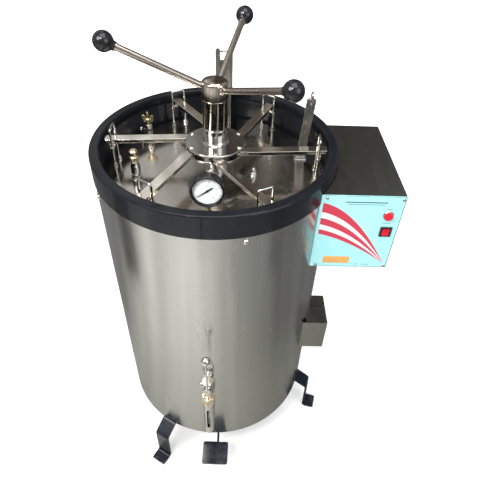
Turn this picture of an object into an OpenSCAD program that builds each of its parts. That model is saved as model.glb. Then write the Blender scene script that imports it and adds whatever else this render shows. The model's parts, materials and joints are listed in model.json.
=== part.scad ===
// Vertical top-loading autoclave with a radial-locking lid, a spoked lock
// wheel, a foot pedal that raises the lid and a control box on the right side.
// Millimetres. Origin on the floor, under the middle of the whole outline. The
// axis of the vessel stands 63.5 left of it and 8.6 behind it. +Z up, front is -Y.
// Each module draws its piece about the vessel axis, and place() moves it over.
// Headings are degrees about that axis, anticlockwise from +X seen from above.

/* [Body] */
// Outside radius of the steel jacket
jacket_r = 275; // [272:1:280]
// Height of the underside of the jacket above the floor
floor_gap = 147; // [140:1:155]
// Height from the underside of the jacket to the top of the lid ring
body_h = 847; // [840:1:870]
// Thickness of the jacket sheet
jacket_t = 2; // [1:0.5:2]
// Inside radius of the sterilising chamber
chamber_r = 222; // [216:1:224]
// Thickness of the chamber wall
chamber_t = 3; // [2:0.5:4]

/* [Lid ring] */
// Radius of the opening inside the lip of the ring
lip_r = 255.75; // [255.5:0.25:257]
// Radius of the groove that takes the tips of the locking arms
groove_r = 265; // [263:0.5:267]
// Depth of the outer band of the ring
band_h = 56; // [50:1:58]
// Depth from the top of the ring to the top of the lid plate
lid_drop = 74; // [72:1:76]

/* [Lock] */
// Radius of the circle of pins that carry the inner ends of the arms
pin_circle = 61; // [60:0.5:62]
// Radius of the circle of arm guides
guide_circle = 233; // [231:1:234]
// Angle by which the pins trail the guides when the lid is unlocked
trail = 24; // [22:1:25]
// Length of an arm from its pin to its tip
arm_len = 199; // [196:0.5:199]
// Width of an arm
arm_w = 22; // [18:1:22]
// Thickness of an arm
arm_t = 9; // [7:0.5:9]

/* [Lock wheel] */
// Diameter of a spoke
spoke_d = 13.8; // [12:0.2:14]
// Length of a spoke from the axis to the centre of its ball
spoke_len = 234; // [210:2:240]
// Diameter of a ball knob
ball_d = 40; // [36:1:42]
// Headings of the three spokes
spoke_az = [186, 74, 311];
// Rise angles of the three spokes
spoke_el = [26, 22.5, 20];

/* [Legs] */
// Width of the leg strip
leg_w = 46; // [40:1:50]
// Headings of the left, right and rear legs
leg_az = [-121, -14.5, 112];

/* [Control box] */
// Width of the control box
box_w = 173; // [165:1:180]
// Depth of the control box
box_d = 295; // [280:1:300]
// Height of the control box
box_h = 206; // [200:1:212]

/* [Hidden] */
$fn = 96;
sheet_t = 1.5;                    // sheet of the control box and terminal box
black_paint = [0.03, 0.03, 0.04];

// vessel
top_z = floor_gap + body_h;       // top of the ring
lid_z = top_z - lid_drop;         // top of the lid plate
flange_z = top_z - 88;            // top of the chamber flange
chamber_z = top_z - 770;          // underside of the chamber
port_z = top_z - 735;             // heater and lower level ports in the chamber wall
ring_r = jacket_r + 2;            // outside of the lid ring
jacket_in = jacket_r - jacket_t;
chamber_out = chamber_r + chamber_t;
flange_r = 268;
seat_in = 230;                    // gasket seat in the flange
seat_out = 242;
seat_depth = 4;
jacket_screw_az = [-151, -75, 60, 135];
jacket_screw_z = top_z - 68;
cable_z = top_z - 150;            // cable way from the control box

// basket
stand_z = top_z - 700;            // underside of the stand plate
basket_z = top_z - 696.9;         // underside of the basket
basket_in = 195;
basket_out = 197;
rim_r = 199.5;
rim_top = 408.9;                  // top of the rim above the underside
bail_z = top_z - 306;             // axis of the bail handle
wire_r = 3;                       // bail handle and lug loop

// heater
heat_az = -17;                    // heading of the heater terminals
heater_r = 150;
heater_y = 18;                    // half spacing of the cold ends
lead_r = 262;                     // distance of the leads from the axis
lead_hole_z = top_z - 540;        // hole for the leads in the jacket
term_low = [250, -135, top_z - 592];   // corners of the terminal box
term_high = [308, -35, top_z - 483];

// water level unit
level_az = -92.3;
level_r = 300;                    // its distance from the axis
cock_z = top_z - 530;             // upper fitting
foot_z = top_z - 761;             // lower fitting

// legs, pedal and lift column
leg_bolt_r = 240;
leg_bolt_y = 13;
bracket_bolt_y = 18;
bolt_hole_r = 4.1;
bracket_hole_r = 3.1;
col_x = 10;                       // middle of the lift column
col_y = 283;                      // its front face
pivot_y = -100;                   // pedal pivot
pivot_z = 73.4;
pivot_at = [col_x, pivot_y, pivot_z];
strap_z = [top_z - 640, top_z - 210];   // undersides of the column guides
strap_h = 40;

// control box
box_x = 231;                      // left edge of the control panel
box_y = -158;                     // front of the control box
box_z = top_z - 30 - box_h;       // underside of the control box
box_right = box_x + box_w;
box_top = box_z + box_h;
box_curve_r = jacket_r + 3;       // curve cut in the left side
panel_y = box_y - 2.02;           // front of the control panel
panel_screw_inset = 7;
lamp_at = [374, panel_y, top_z - 79];
switch_at = [378.5, panel_y, top_z - 125];

// fittings on the lid, [x, y]
gauge_at = [-8, -171];
safety_at = [-176, -52];
vent_at = [-172, 121];
lug_at = [203, 50];
socket_at = [88, -27];
lug_eye = 140;                    // height of the eye up the lug
lid_t = 11.95;
spindle_r = 14;

// lock
guide_az = [-3, 57, 117, 177, 237, 297];
arm_z = top_z - 18.6;             // underside of an arm
staple_y = 16.5;                  // half spacing of the staple legs
staple_wire_r = 2.5;
staple_bend_r = 5;
// turn of an arm from its guide's heading, so that it runs from pin to guide
arm_turn = atan2(pin_circle * sin(trail), guide_circle - pin_circle * cos(trail));

// middle of the outline, from the vessel axis
outline_mid = [(box_right - ring_r) / 2, -8.6, 0];

// ---------------------------------------------------------------- helpers

// outline of a bent strip of the given thickness that follows the points
function unit(v) = v / norm(v);
function normal(from, to) = let (along = unit(to - from)) [-along[1], along[0]];
function miter(points, i) =
    let (last = len(points) - 1)
    i == 0 ? normal(points[0], points[1]) :
    i == last ? normal(points[last - 1], points[last]) :
    let (before = normal(points[i - 1], points[i]), after = normal(points[i], points[i + 1]))
    (before + after) / (1 + before * after);
function ribbon(points, thick) = concat(
    [for (i = [0 : len(points) - 1]) points[i] + miter(points, i) * thick / 2],
    [for (i = [len(points) - 1 : -1 : 0]) points[i] - miter(points, i) * thick / 2]);

// strip bent in the XZ plane, its width along Y
module strip(points, thick, width) {
    rotate([90, 0, 0])
        translate([0, 0, -width / 2])
            linear_extrude(width) polygon(ribbon(points, thick));
}

module up(z) { translate([0, 0, z]) children(); }
module at_az(heading) { rotate([0, 0, heading]) children(); }

// cylinders between two stations on the X, Y or Z axis
module xcyl(r, x0, x1) { translate([x0, 0, 0]) rotate([0, 90, 0]) cylinder(r = r, h = x1 - x0); }
module ycyl(r, y0, y1) { translate([0, y0, 0]) rotate([-90, 0, 0]) cylinder(r = r, h = y1 - y0); }
module zcyl(r, z0, z1) { up(z0) cylinder(r = r, h = z1 - z0); }
module tube(r0, r1, z0, z1) {
    difference() {
        zcyl(r1, z0, z1);
        zcyl(r0, z0 - 1, z1 + 1);
    }
}

// upright hexagonal prism, sized across its flats
module hex(flats, z0, z1) { up(z0) cylinder(d = flats / cos(30), h = z1 - z0, $fn = 6); }

// box between two opposite corners
module block(low, high) { translate(low) cube(high - low); }

// plate in XY with rounded corners
module round_plate(width, depth, height, r) {
    translate([-width / 2 + r, -depth / 2, 0]) cube([width - 2 * r, depth, height]);
    translate([-width / 2, -depth / 2 + r, 0]) cube([width, depth - 2 * r, height]);
    for (x = [-1, 1], y = [-1, 1])
        translate([x * (width / 2 - r), y * (depth / 2 - r), 0])
            cylinder(r = r, h = height, $fn = 32);
}

// places shared by holes and the parts that fill them
module at_leg_bolts() { for (side = [-1, 1]) translate([leg_bolt_r, side * leg_bolt_y, 0]) children(); }
module at_bracket_bolts() {
    for (side = [-1, 1]) translate([col_x, pivot_y + side * bracket_bolt_y, 0]) children();
}
module at_bridge_bolts() { for (side = [-1, 1]) translate([col_x + side * 11, 188, 0]) children(); }
module at_jacket_screws() { for (a = jacket_screw_az) at_az(a) up(jacket_screw_z) children(); }
module at_strap_screws() {
    for (side = [-1, 1], z = strap_z) translate([col_x + side * 30, 0, z + strap_h / 2]) children();
}
module at_panel_screws() {
    for (x = [box_x + panel_screw_inset, box_right - panel_screw_inset],
         z = [box_z + panel_screw_inset, box_top - panel_screw_inset])
        translate([x, 0, z]) children();
}
module at_terminal_screws() {
    for (z = [term_low.z + 12, term_high.z - 12])
        translate([0, (term_low.y + term_high.y) / 2, z]) children();
}
module at_arm_pins() { for (a = guide_az) at_az(a - trail) translate([pin_circle, 0, 0]) children(); }
module on_lid(at) { translate([at.x, at.y, lid_z]) children(); }

// ---------------------------------------------------------------- vessel

module outer_jacket() {
    color("silver") difference() {
        union() {
            tube(jacket_in, jacket_r, floor_gap, top_z - 30);
            // rolled hem at the foot of the jacket
            tube(jacket_in - 2, jacket_in, floor_gap + 4, floor_gap + 8);
        }
        at_az(level_az) for (z = [cock_z, foot_z]) up(z) xcyl(9, 250, 290);
        at_strap_screws() ycyl(3.25, 250, 290);
        at_az(heat_az) up(lead_hole_z) xcyl(13, 250, 290);
        up(cable_z) xcyl(13, 250, 290);
        at_jacket_screws() xcyl(3.1, 250, 290);
    }
}

module base_plate() {
    color("silver") difference() {
        zcyl(jacket_in - 0.1, floor_gap, floor_gap + 3);
        zcyl(30, floor_gap - 1, floor_gap + 4);
        for (a = leg_az) at_az(a) at_leg_bolts()
            up(floor_gap - 1) cylinder(r = bolt_hole_r, h = 6, $fn = 32);
        at_bracket_bolts() up(floor_gap - 1) cylinder(r = bracket_hole_r, h = 6, $fn = 32);
    }
}

// pressure chamber with its mouth flange and gasket seat
module inner_chamber() {
    color("gainsboro") difference() {
        // [radius, z]: up the outside, across the flange, down the inside
        rotate_extrude() polygon([
            [0, chamber_z], [chamber_r - 22, chamber_z], [chamber_out - 6, chamber_z + 8],
            [chamber_out, chamber_z + 24], [chamber_out, flange_z - 8],
            [flange_r, flange_z - 8], [flange_r, flange_z], [seat_out, flange_z],
            [seat_out, flange_z - seat_depth], [seat_in, flange_z - seat_depth],
            [seat_in, flange_z], [chamber_r, flange_z],
            [chamber_r, chamber_z + 26], [chamber_r - 4, chamber_z + 13],
            [chamber_r - 24, chamber_z + 5], [0, chamber_z + 5]]);
        at_az(level_az) for (z = [cock_z, port_z]) up(z) xcyl(7.05, 200, 240);
        at_az(heat_az) for (side = [-1, 1])
            translate([0, side * heater_y, port_z]) xcyl(6.05, 190, 240);
    }
}

// black lid ring: lip, locking groove, inner wall and outer skirt
module locking_ring() {
    skirt_in = jacket_r + 0.4;
    wall_out = jacket_in - 0.5;
    // [radius, z]
    color([0.04, 0.04, 0.05]) rotate_extrude() polygon([
        [lip_r, top_z - 2], [lip_r + 2, top_z], [ring_r - 3.5, top_z],
        [ring_r - 1.2, top_z - 1], [ring_r, top_z - 3.5],
        [ring_r, top_z - band_h + 1.5], [ring_r - 0.6, top_z - band_h],
        [skirt_in, top_z - band_h], [skirt_in, top_z - 28],
        [wall_out, top_z - 28], [wall_out, top_z - 34],
        [262, top_z - 34], [262, flange_z], [257, flange_z], [257, top_z - 25],
        [groove_r, top_z - 22], [groove_r, top_z - 8], [lip_r, top_z - 8]]);
}

module insulation() {
    color([0.93, 0.88, 0.62]) difference() {
        tube(chamber_out + 4, jacket_in - 3, chamber_z + 20, top_z - 104);
        at_az(level_az) {
            up(cock_z) xcyl(11, 200, 290);
            block([200, -11, chamber_z], [300, 11, top_z - 720]);
        }
        at_az(heat_az) block([200, -30, chamber_z], [300, 30, top_z - 520]);
        up(cable_z) xcyl(15, 200, 290);
    }
}

module lid_gasket() {
    inner = seat_in + 0.3;
    outer = seat_out - 0.3;
    color([0.75, 0.32, 0.22]) up(flange_z) rotate_extrude() polygon([
        [inner, -seat_depth], [outer, -seat_depth], [outer, 0.6],
        [outer - 1.3, 1.95], [inner + 1.3, 1.95], [inner, 0.6]]);
}

// tubular immersion heater with two cold ends through the chamber wall
module heater_element() {
    end_angle = asin(heater_y / heater_r);
    color([0.55, 0.56, 0.58]) at_az(heat_az) up(port_z) {
        rotate([0, 0, end_angle])
            rotate_extrude(angle = 360 - 2 * end_angle)
                translate([heater_r, 0]) circle(r = 5.5, $fn = 32);
        for (side = [-1, 1]) translate([0, side * heater_y, 0]) {
            xcyl(6, heater_r * cos(end_angle) - 4, 250);
            translate([chamber_out + 0.8, 0, 0])
                rotate([0, 90, 0]) cylinder(d = 20, h = 9, $fn = 6);
            xcyl(2.4, 250, 255);
        }
    }
}

// sleeved leads from the cold ends up to the terminal box
module heater_leads() {
    turn_z = lead_hole_z - 2;
    color([0.85, 0.45, 0.15]) at_az(heat_az) for (side = [-1, 1]) {
        translate([lead_r, side * heater_y, port_z - 4]) cylinder(r = 3.2, h = 200);
        translate([0, side * heater_y, port_z]) xcyl(2.8, 255.3, lead_r);
        translate([lead_r, side * heater_y, turn_z])
            rotate([90, 0, 0]) up(side > 0 ? 0 : -14) cylinder(r = 2.8, h = 14);
        translate([0, side * 6, turn_z]) xcyl(2.6, 260, 285);
    }
}

// perforated plate on three posts
module basket_stand() {
    post_z = chamber_z + 5.05;
    color("silver") {
        difference() {
            zcyl(205, stand_z, stand_z + 3);
            for (a = [0 : 45 : 315])
                at_az(a) translate([120, 0, stand_z - 1]) cylinder(r = 22, h = 6);
            zcyl(30, stand_z - 1, stand_z + 4);
        }
        for (a = [60, 180, 300])
            at_az(a) translate([180, 0, post_z])
                cylinder(r = 7, h = stand_z - post_z, $fn = 32);
    }
}

// loading basket with a rolled rim and two handle bushes
module basket() {
    color("silver") difference() {
        union() {
            up(basket_z) rotate_extrude() polygon([
                [0, 0], [basket_out, 0], [basket_out, rim_top - 4], [rim_r, rim_top - 4],
                [rim_r, rim_top], [basket_in, rim_top], [basket_in, 2], [0, 2]]);
            for (a = [0, 180]) at_az(a) up(bail_z) xcyl(8, 191.5, 196);
        }
        for (a = [0, 180]) at_az(a) up(bail_z) xcyl(wire_r + 0.05, 180, 203);
        for (a = [22.5 : 45 : 360])
            at_az(a) translate([110, 0, stand_z]) cylinder(r = 18, h = 8);
        for (a = [15 : 30 : 345], drop = [370 : 75 : 670])
            at_az(a) up(top_z - drop) xcyl(14, 180, 205);
    }
}

module bail_handle() {
    bail_r = 187;
    color("silver") up(bail_z) {
        rotate([90, 0, 0])
            rotate_extrude(angle = 180) translate([bail_r, 0]) circle(r = wire_r, $fn = 32);
        for (a = [0, 180]) at_az(a) xcyl(wire_r, bail_r, 198.5);
    }
}

// ---------------------------------------------------------------- legs and fasteners

// bent strip from under the base plate down to a foot with one hole
module leg(heading) {
    z = floor_gap - 3.05;
    color(black_paint) at_az(heading) difference() {
        strip([[212, z], [273, z], [314.5, z - 28], [314.5, 3], [351, 3]], 6, leg_w);
        at_leg_bolts() up(z - 5) cylinder(r = bolt_hole_r, h = 10, $fn = 32);
        translate([334, 0, -1]) cylinder(r = 5.5, h = 8);
    }
}
module leg_left() { leg(leg_az[0]); }
module leg_right() { leg(leg_az[1]); }
module leg_rear() { leg(leg_az[2]); }

// bolt through the base plate, heights from its underside;
// lower holds the two ends of the lower hexagon
module base_bolt(r, flats, tail, top, lower) {
    up(floor_gap) {
        zcyl(r, tail, 4);
        hex(flats, 3.05, top);
        hex(flats, lower[0], lower[1]);
    }
}

// bolts of the legs and of the pedal bracket
module leg_bolts() {
    color("gray") {
        for (a = leg_az) at_az(a) at_leg_bolts()
            base_bolt(r = 4, flats = 13, tail = -14, top = 8.5, lower = [-12.6, -6.1]);
        at_bracket_bolts()
            base_bolt(r = 3, flats = 10, tail = -12, top = 7, lower = [-10.2, -5.1]);
    }
}

// screws of the jacket, column guides, control panel and terminal box
module cover_screws() {
    color("gainsboro") {
        at_jacket_screws() {
            xcyl(3, 268, jacket_r + 1);
            translate([jacket_r + 0.05, 0, 0]) rotate([0, 90, 0]) {
                cylinder(r = 6.5, h = 1.5);
                up(1.5) cylinder(r1 = 6.5, r2 = 3.6, h = 3, $fn = 48);
            }
        }
        at_strap_screws() {
            ycyl(3.1, 271, col_y + 15);
            ycyl(5.5, col_y + 14.05, col_y + 18);
        }
        at_panel_screws() {
            ycyl(1.6, box_y - 2.6, box_y + 6);
            ycyl(3.6, box_y - 4.2, box_y - 2.05);
        }
        at_terminal_screws() {
            xcyl(1.6, term_high.x - 6, term_high.x + 0.5);
            xcyl(3.6, term_high.x + 0.05, term_high.x + 2.2);
        }
    }
}

// ---------------------------------------------------------------- control box

// folded steel case whose left side is cut to the curve of the jacket
module control_box() {
    color([0.45, 0.45, 0.46]) difference() {
        block([box_x, box_y, box_z], [box_right, box_y + box_d, box_top]);
        zcyl(box_curve_r, box_z - 1, box_top + 1);
        // hollow, open at the front, less the four screw posts
        difference() {
            block([box_x + sheet_t, box_y - 1, box_z + sheet_t],
                [box_right - sheet_t, box_y + box_d - sheet_t, box_top - sheet_t]);
            zcyl(box_curve_r + sheet_t, box_z - 1, box_top + 1);
            at_panel_screws() ycyl(6.2, box_y, box_y + 9);
        }
        at_panel_screws() ycyl(1.65, box_y - 1, box_y + 8);
        // cable way into the jacket
        up(cable_z) xcyl(12, 270, 290);
        // vents in the right side
        for (i = [0 : 5]) up(box_z + 50 + i * 16)
            block([box_right - 3, 40, 0], [box_right + 1, 100, 5]);
    }
}

module control_panel() {
    color([0.72, 0.97, 0.97]) difference() {
        block([box_x, panel_y, box_z], [box_right, panel_y + 2, box_top]);
        at_panel_screws() ycyl(1.65, panel_y - 1, panel_y + 3);
        translate(lamp_at) ycyl(8.05, -1, 3);
        translate(switch_at) block([-10.6, -1, -11.1], [10.6, 3, 11.1]);
    }
}

module lamp_bezel() {
    color([0.8, 0.8, 0.82]) translate(lamp_at) difference() {
        union() {
            ycyl(11.5, -3.05, -0.05);
            ycyl(8, -0.1, 16);
            ycyl(11, 2.05, 6);
        }
        ycyl(6.5, -4, 14);
    }
}

module lamp_lens() {
    color([0.85, 0.05, 0.08]) translate(lamp_at + [0, -3.1, 0]) rotate([90, 0, 0]) {
        cylinder(r = 9.5, h = 4);
        // domed front: [radius, distance forward]
        rotate_extrude() polygon([
            [0, 4], [9.5, 4], [8.6, 6.2], [6.6, 7.8], [3.6, 8.9], [0, 9.3]]);
        up(-9) cylinder(r = 6.4, h = 9.5);
    }
}

module switch_bezel() {
    color([0.03, 0.03, 0.03]) translate(switch_at) difference() {
        union() {
            block([-13, -2.55, -13.5], [13, -0.05, 13.5]);
            block([-10.5, -0.1, -11], [10.5, 18, 11]);
        }
        block([-8.2, -3, -9.4], [8.2, 14, 9.4]);
    }
}

// rocker on a cross axle, tipped to one side at rest
module rocker() {
    color([0.86, 0.05, 0.07]) translate(switch_at + [0, 1, 0]) rotate([7, 0, 0]) {
        // side outline: [y, z]
        translate([-7.6, 0, 0]) rotate([90, 0, 90]) linear_extrude(15.2) polygon([
            [-6.2, 8.3], [-3.9, 4.4], [-2.9, 0], [-3.9, -4.4], [-6.2, -8.3],
            [-1, -8], [6, -3], [6, 3], [-1, 8]]);
        xcyl(2, -8.1, 8.1);
    }
}

// body, raised front, mounting plate and its two feet
module contactor() {
    color([0.2, 0.2, 0.22]) translate([box_x, box_y, box_z]) {
        block([99, 60, 22], [149, 135, 100]);
        block([107, 48, 34], [141, 60, 88]);
        block([91, 52, 14], [157, 143, 22]);
        for (x = [91, 151]) block([x, 60, 1.55], [x + 6, 135, 14]);
    }
}

// cover over the heater terminals, cut to the curve of the jacket
module terminal_box() {
    color([0.55, 0.54, 0.5]) difference() {
        block(term_low, term_high);
        zcyl(jacket_r + 0.1, term_low.z - 1, term_high.z + 1);
        // hollow, less the curved back and the two screw posts
        difference() {
            block(term_low + [sheet_t - 30, sheet_t, sheet_t],
                term_high - [sheet_t, sheet_t, sheet_t]);
            zcyl(jacket_r + sheet_t, term_low.z - 1, term_high.z + 1);
            at_terminal_screws() xcyl(4, 298, 307);
        }
        at_az(heat_az) up(lead_hole_z) xcyl(12.5, 270, 290);
        at_terminal_screws() xcyl(1.65, 297, 310);
    }
}

// ---------------------------------------------------------------- water level unit

module level_cock() {
    color([0.78, 0.76, 0.7]) at_az(level_az) up(cock_z) difference() {
        union() {
            // nipple through the jacket and the chamber wall
            xcyl(7, chamber_r - 1, 290);
            xcyl(13, jacket_r + 0.1, jacket_r + 5);
            // hexagon body with side boss
            translate([level_r, 0, 0]) {
                hex(26, -36, 18);
                rotate([90, 0, 0]) cylinder(r = 8, h = 19);
                xcyl(9, 0, 16);
                zcyl(10, -49.9, -36);
            }
        }
        translate([level_r, 0, 0]) {
            xcyl(5.05, 2, 20);
            zcyl(4, -60, -15);
        }
    }
}

// key of the cock: a plug, a rod and a round knob
module cock_key() {
    color([0.85, 0.85, 0.83]) at_az(level_az) translate([level_r, 0, cock_z]) {
        xcyl(5, 3, 17);
        xcyl(10, 16.2, 22);
        translate([19.2, 0, 5]) cylinder(r = 2.6, h = 120, $fn = 32);
        translate([19.2, 0, 132]) sphere(r = 11, $fn = 48);
    }
}

// slotted guard tube hanging from its union nut, heights from the ring top
module level_guard() {
    color([0.8, 0.8, 0.78]) at_az(level_az) translate([level_r, 0, top_z]) difference() {
        union() {
            zcyl(14, -750, -612);
            zcyl(16, -618, -611);
            hex(30, -612, -580);
        }
        zcyl(11, -752, -610);
        zcyl(8.1, -611, -599.9);
        zcyl(4, -602, -570);
        // round-ended slot on the outer side
        block([0, -4.5, -730], [30, 4.5, -644]);
        for (z = [-730, -644]) up(z) xcyl(4.5, 0, 30);
    }
}

module level_glass() {
    color([0.8, 0.92, 0.95, 0.45]) at_az(level_az) translate([level_r, 0, top_z])
        tube(5.5, 8, -751, -600);
}

// lower fitting with its pipe into the foot of the chamber
module level_foot() {
    pipe_r = 7;
    riser_x = 243;
    rise = port_z - foot_z;
    color([0.8, 0.68, 0.42]) at_az(level_az) up(foot_z) difference() {
        union() {
            translate([level_r, 0, 0]) zcyl(13, -11, 10.95);
            xcyl(pipe_r, 262, 290);
            xcyl(pipe_r, riser_x, 262);
            translate([riser_x, 0, 0]) {
                for (z = [0, rise]) up(z) sphere(r = pipe_r, $fn = 48);
                cylinder(r = pipe_r, h = rise);
            }
            up(rise) xcyl(pipe_r, chamber_r - 1, riser_x);
        }
        translate([level_r, 0, 0]) {
            zcyl(8.1, 9.8, 19);
            zcyl(4, 0, 14);
        }
    }
}

// ---------------------------------------------------------------- pedal and lid lift

// plate under the base with two cheeks that carry the pivot pin
module pedal_bracket() {
    color([0.05, 0.05, 0.06]) difference() {
        translate([col_x, pivot_y, 0]) {
            block([-22, -26, floor_gap - 5.05], [22, 26, floor_gap - 0.05]);
            for (side = [-1, 1]) translate([side * 9.5, 0, 0]) {
                block([-3, -12, pivot_z], [3, 12, floor_gap - 5]);
                up(pivot_z) xcyl(12, -3, 3);
            }
        }
        translate(pivot_at) xcyl(6.02, -20, 20);
        at_bracket_bolts() up(floor_gap - 8) cylinder(r = bracket_hole_r, h = 12, $fn = 32);
    }
}

module pivot_pin() {
    color("gray") translate(pivot_at) {
        xcyl(6, -15, 15);
        xcyl(9, 12.6, 15.5);
        xcyl(9, -15.5, -12.6);
    }
}

// foot plate, long flat lever and the nose that lifts the column
module pedal_lever() {
    slope = atan(75 / 620);
    color(black_paint) difference() {
        union() {
            // lever, falling to the rear, with the top of its rear end cut down
            translate(pivot_at) rotate([-slope, 0, 0]) difference() {
                block([-3, -200, -11], [3, 404, 8]);
                block([-4, 360, 0], [4, 500, 20]);
            }
            translate(pivot_at) xcyl(15, -5.5, 5.5);
            // foot plate
            translate([3, -317, 102]) rotate([0, 0, -1.5]) round_plate(76, 67, 4.5, 6);
            block([col_x - 4.5, -345, 87], [col_x + 4.5, -285, 104]);
        }
        translate(pivot_at) xcyl(6.05, -20, 20);
    }
}

// two guide straps behind the jacket for the lift column
module column_guides() {
    color([0.4, 0.4, 0.42]) for (z = strap_z) difference() {
        block([col_x - 36, 262, z], [col_x + 36, col_y + 14, z + strap_h]);
        zcyl(jacket_r + 0.05, z - 1, z + strap_h + 1);
        block([col_x - 23, col_y - 0.5, z - 1], [col_x + 23, col_y + 8.5, z + strap_h + 1]);
        at_strap_screws() ycyl(3.2, 240, 310);
    }
}

// column behind the jacket, fork at the top and the bridge over the ring to the lid
module lift_column() {
    col_t = 8;
    fork_z = top_z + 90;
    bridge_z = top_z + 10;
    bridge_foot_z = lid_z + 4.05;
    color([0.62, 0.6, 0.57]) difference() {
        translate([col_x, 0, 0]) {
            block([-22.5, col_y, 46], [22.5, col_y + col_t, top_z + 66]);
            // foot of the column over the nose of the pedal lever
            block([-12, col_y, 28], [12, col_y + col_t, 46]);
            // fork ears
            for (side = [-1, 1]) translate([side * 16.5, 0, 0]) {
                block([-6, col_y, top_z + 60], [6, col_y + col_t, fork_z]);
                up(fork_z) ycyl(6, col_y, col_y + col_t);
            }
            // cross pin in the fork
            translate([0, col_y + col_t / 2, fork_z]) xcyl(3, -13, 13);
            // bridge, down leg and foot on the lid: [y, z]
            rotate([0, 0, 90]) strip([
                [col_y + 2, bridge_z], [209, bridge_z],
                [209, bridge_foot_z], [172, bridge_foot_z]], 8, 40);
        }
        at_bridge_bolts() up(lid_z - 1) cylinder(r = 4, h = 12, $fn = 32);
    }
}

// ---------------------------------------------------------------- lid

module lid_plate() {
    color("gainsboro") difference() {
        union() {
            up(lid_z) rotate_extrude() polygon([
                [0, -lid_t], [247, -lid_t], [250, -9], [250, -2], [248, 0], [0, 0]]);
            // welded test socket with its plug
            on_lid(socket_at) {
                zcyl(8, -1, 8);
                hex(11, 7, 16);
                zcyl(3.5, 15, 20);
            }
        }
        at_bridge_bolts() up(lid_z - 9) cylinder(r = 4.05, h = 12, $fn = 48);
        // holes for the fittings
        on_lid(gauge_at) zcyl(6.05, -14, 6);
        for (at = [safety_at, vent_at]) on_lid(at) zcyl(8.05, -14, 6);
        up(lid_z) zcyl(spindle_r + 0.05, -14, 2);
    }
}

// fixed spindle with its boss under the arm disc
module spindle_bolt() {
    color([0.7, 0.69, 0.66]) {
        zcyl(spindle_r, lid_z - 28, top_z + 98);
        zcyl(26, lid_z + 0.05, lid_z + 8);
        zcyl(21, lid_z + 7, top_z - 25.6);
        hex(40, lid_z - 24, lid_z - 12);
    }
}

// frame of the leaning lug: origin at its foot, Z along it
module lug_frame() { on_lid(lug_at) up(5) rotate([0, 4, 0]) children(); }

// flat lug on the lid with an eye near its top
module lid_lug() {
    color([0.55, 0.53, 0.5]) {
        on_lid(lug_at) block([-14, -9, 0.05], [14, 9, 6]);
        lug_frame() difference() {
            block([-10.5, -3, 0], [10.5, 3, 148]);
            up(lug_eye) ycyl(wire_r + 0.1, -5, 5);
        }
    }
}

// wire loop through the eye of the lug
module lug_loop() {
    loop_r = 7;
    loop_h = 15;
    color([0.6, 0.6, 0.6]) lug_frame() up(lug_eye) {
        ycyl(wire_r, -loop_r, loop_r);
        for (side = [-1, 1]) translate([0, side * loop_r, 0]) {
            cylinder(r = wire_r, h = loop_h, $fn = 32);
            sphere(r = wire_r, $fn = 32);
        }
        up(loop_h) rotate([90, 0, 90])
            rotate_extrude(angle = 180) translate([loop_r, 0]) circle(r = wire_r, $fn = 32);
    }
}

// round-bar staples over the arms, each with a rest under the arm
module arm_guides() {
    bend_z = top_z + 12;
    bend_y = staple_y - staple_bend_r;
    color([0.72, 0.71, 0.68]) for (a = guide_az) at_az(a) translate([guide_circle, 0, 0]) {
        for (side = [-1, 1])
            translate([0, side * staple_y, 0]) zcyl(staple_wire_r, lid_z + 0.05, bend_z);
        up(bend_z) rotate([0, 0, 90]) {
            for (side = [-1, 1]) translate([side * bend_y, 0, 0]) rotate([90, 0, 0])
                rotate_extrude(angle = 90, start = side > 0 ? 0 : 90)
                    translate([staple_bend_r, 0]) circle(r = staple_wire_r, $fn = 32);
            up(staple_bend_r) xcyl(staple_wire_r, -bend_y, bend_y);
        }
        block([-6, -staple_y, arm_z - 5.5], [6, staple_y, arm_z - 1]);
    }
}

// nuts of the staples and the two bolts of the bridge foot
module lid_fasteners() {
    color([0.8, 0.8, 0.8]) {
        at_bridge_bolts() {
            zcyl(3.95, lid_z - 8.5, lid_z + 10);
            hex(13, lid_z + 8.1, lid_z + 14);
        }
        for (a = guide_az, side = [-1, 1])
            at_az(a) translate([guide_circle, side * staple_y, 0]) difference() {
                union() {
                    hex(10, lid_z + 2.1, lid_z + 8);
                    zcyl(7, lid_z + 0.05, lid_z + 2.1);
                    hex(10, arm_z - 13, arm_z - 6);
                }
                zcyl(staple_wire_r + 0.05, lid_z, arm_z);
            }
    }
}

// shank in the lid plate and the hexagon above it
module lid_fitting(r, flats, top) {
    zcyl(r, -11, 1);
    hex(flats, 0.05, top);
}

// ---------------------------------------------------------------- gauge

module gauge_stem() {
    color([0.8, 0.66, 0.4]) on_lid(gauge_at) {
        lid_fitting(r = 6, flats = 15, top = 9);
        zcyl(6.5, 8, 15);
        hex(14, 14, 25);
    }
}

// local frame of the gauge: origin at the centre of the case mouth, -Y outward
module gauge_frame() {
    translate([gauge_at.x, gauge_at.y - 14, top_z - 13]) rotate([-6, 0, 0]) children();
}

module gauge_case() {
    color(black_paint) gauge_frame() difference() {
        union() {
            ycyl(33, 0, 27);
            ycyl(34.5, -1, 8);
            translate([0, 13, 0]) zcyl(7, -34.08, -30);
        }
        ycyl(31.5, -2, 5);
        ycyl(30, 0, 24);
    }
}

module gauge_dial() {
    color("white") gauge_frame() difference() {
        ycyl(29.8, 8, 9.2);
        ycyl(1.55, 7, 10);
    }
}

module gauge_glass() {
    color([0.9, 0.95, 1, 0.25]) gauge_frame() ycyl(31.3, 1.2, 3.2);
}

// pointer on its arbor, pointing to the lower left
module gauge_needle() {
    color([0.02, 0.02, 0.02]) gauge_frame() {
        ycyl(1.5, 5.2, 14);
        ycyl(3, 5.4, 7.2);
        translate([0, 6.9, 0]) rotate([90, 0, 0]) rotate([0, 0, -145])
            linear_extrude(0.8) polygon([
                [-13, -1.5], [-13, 1.5], [0, 1.9], [25, 0.35], [25, -0.35], [0, -1.9]]);
    }
}

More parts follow.
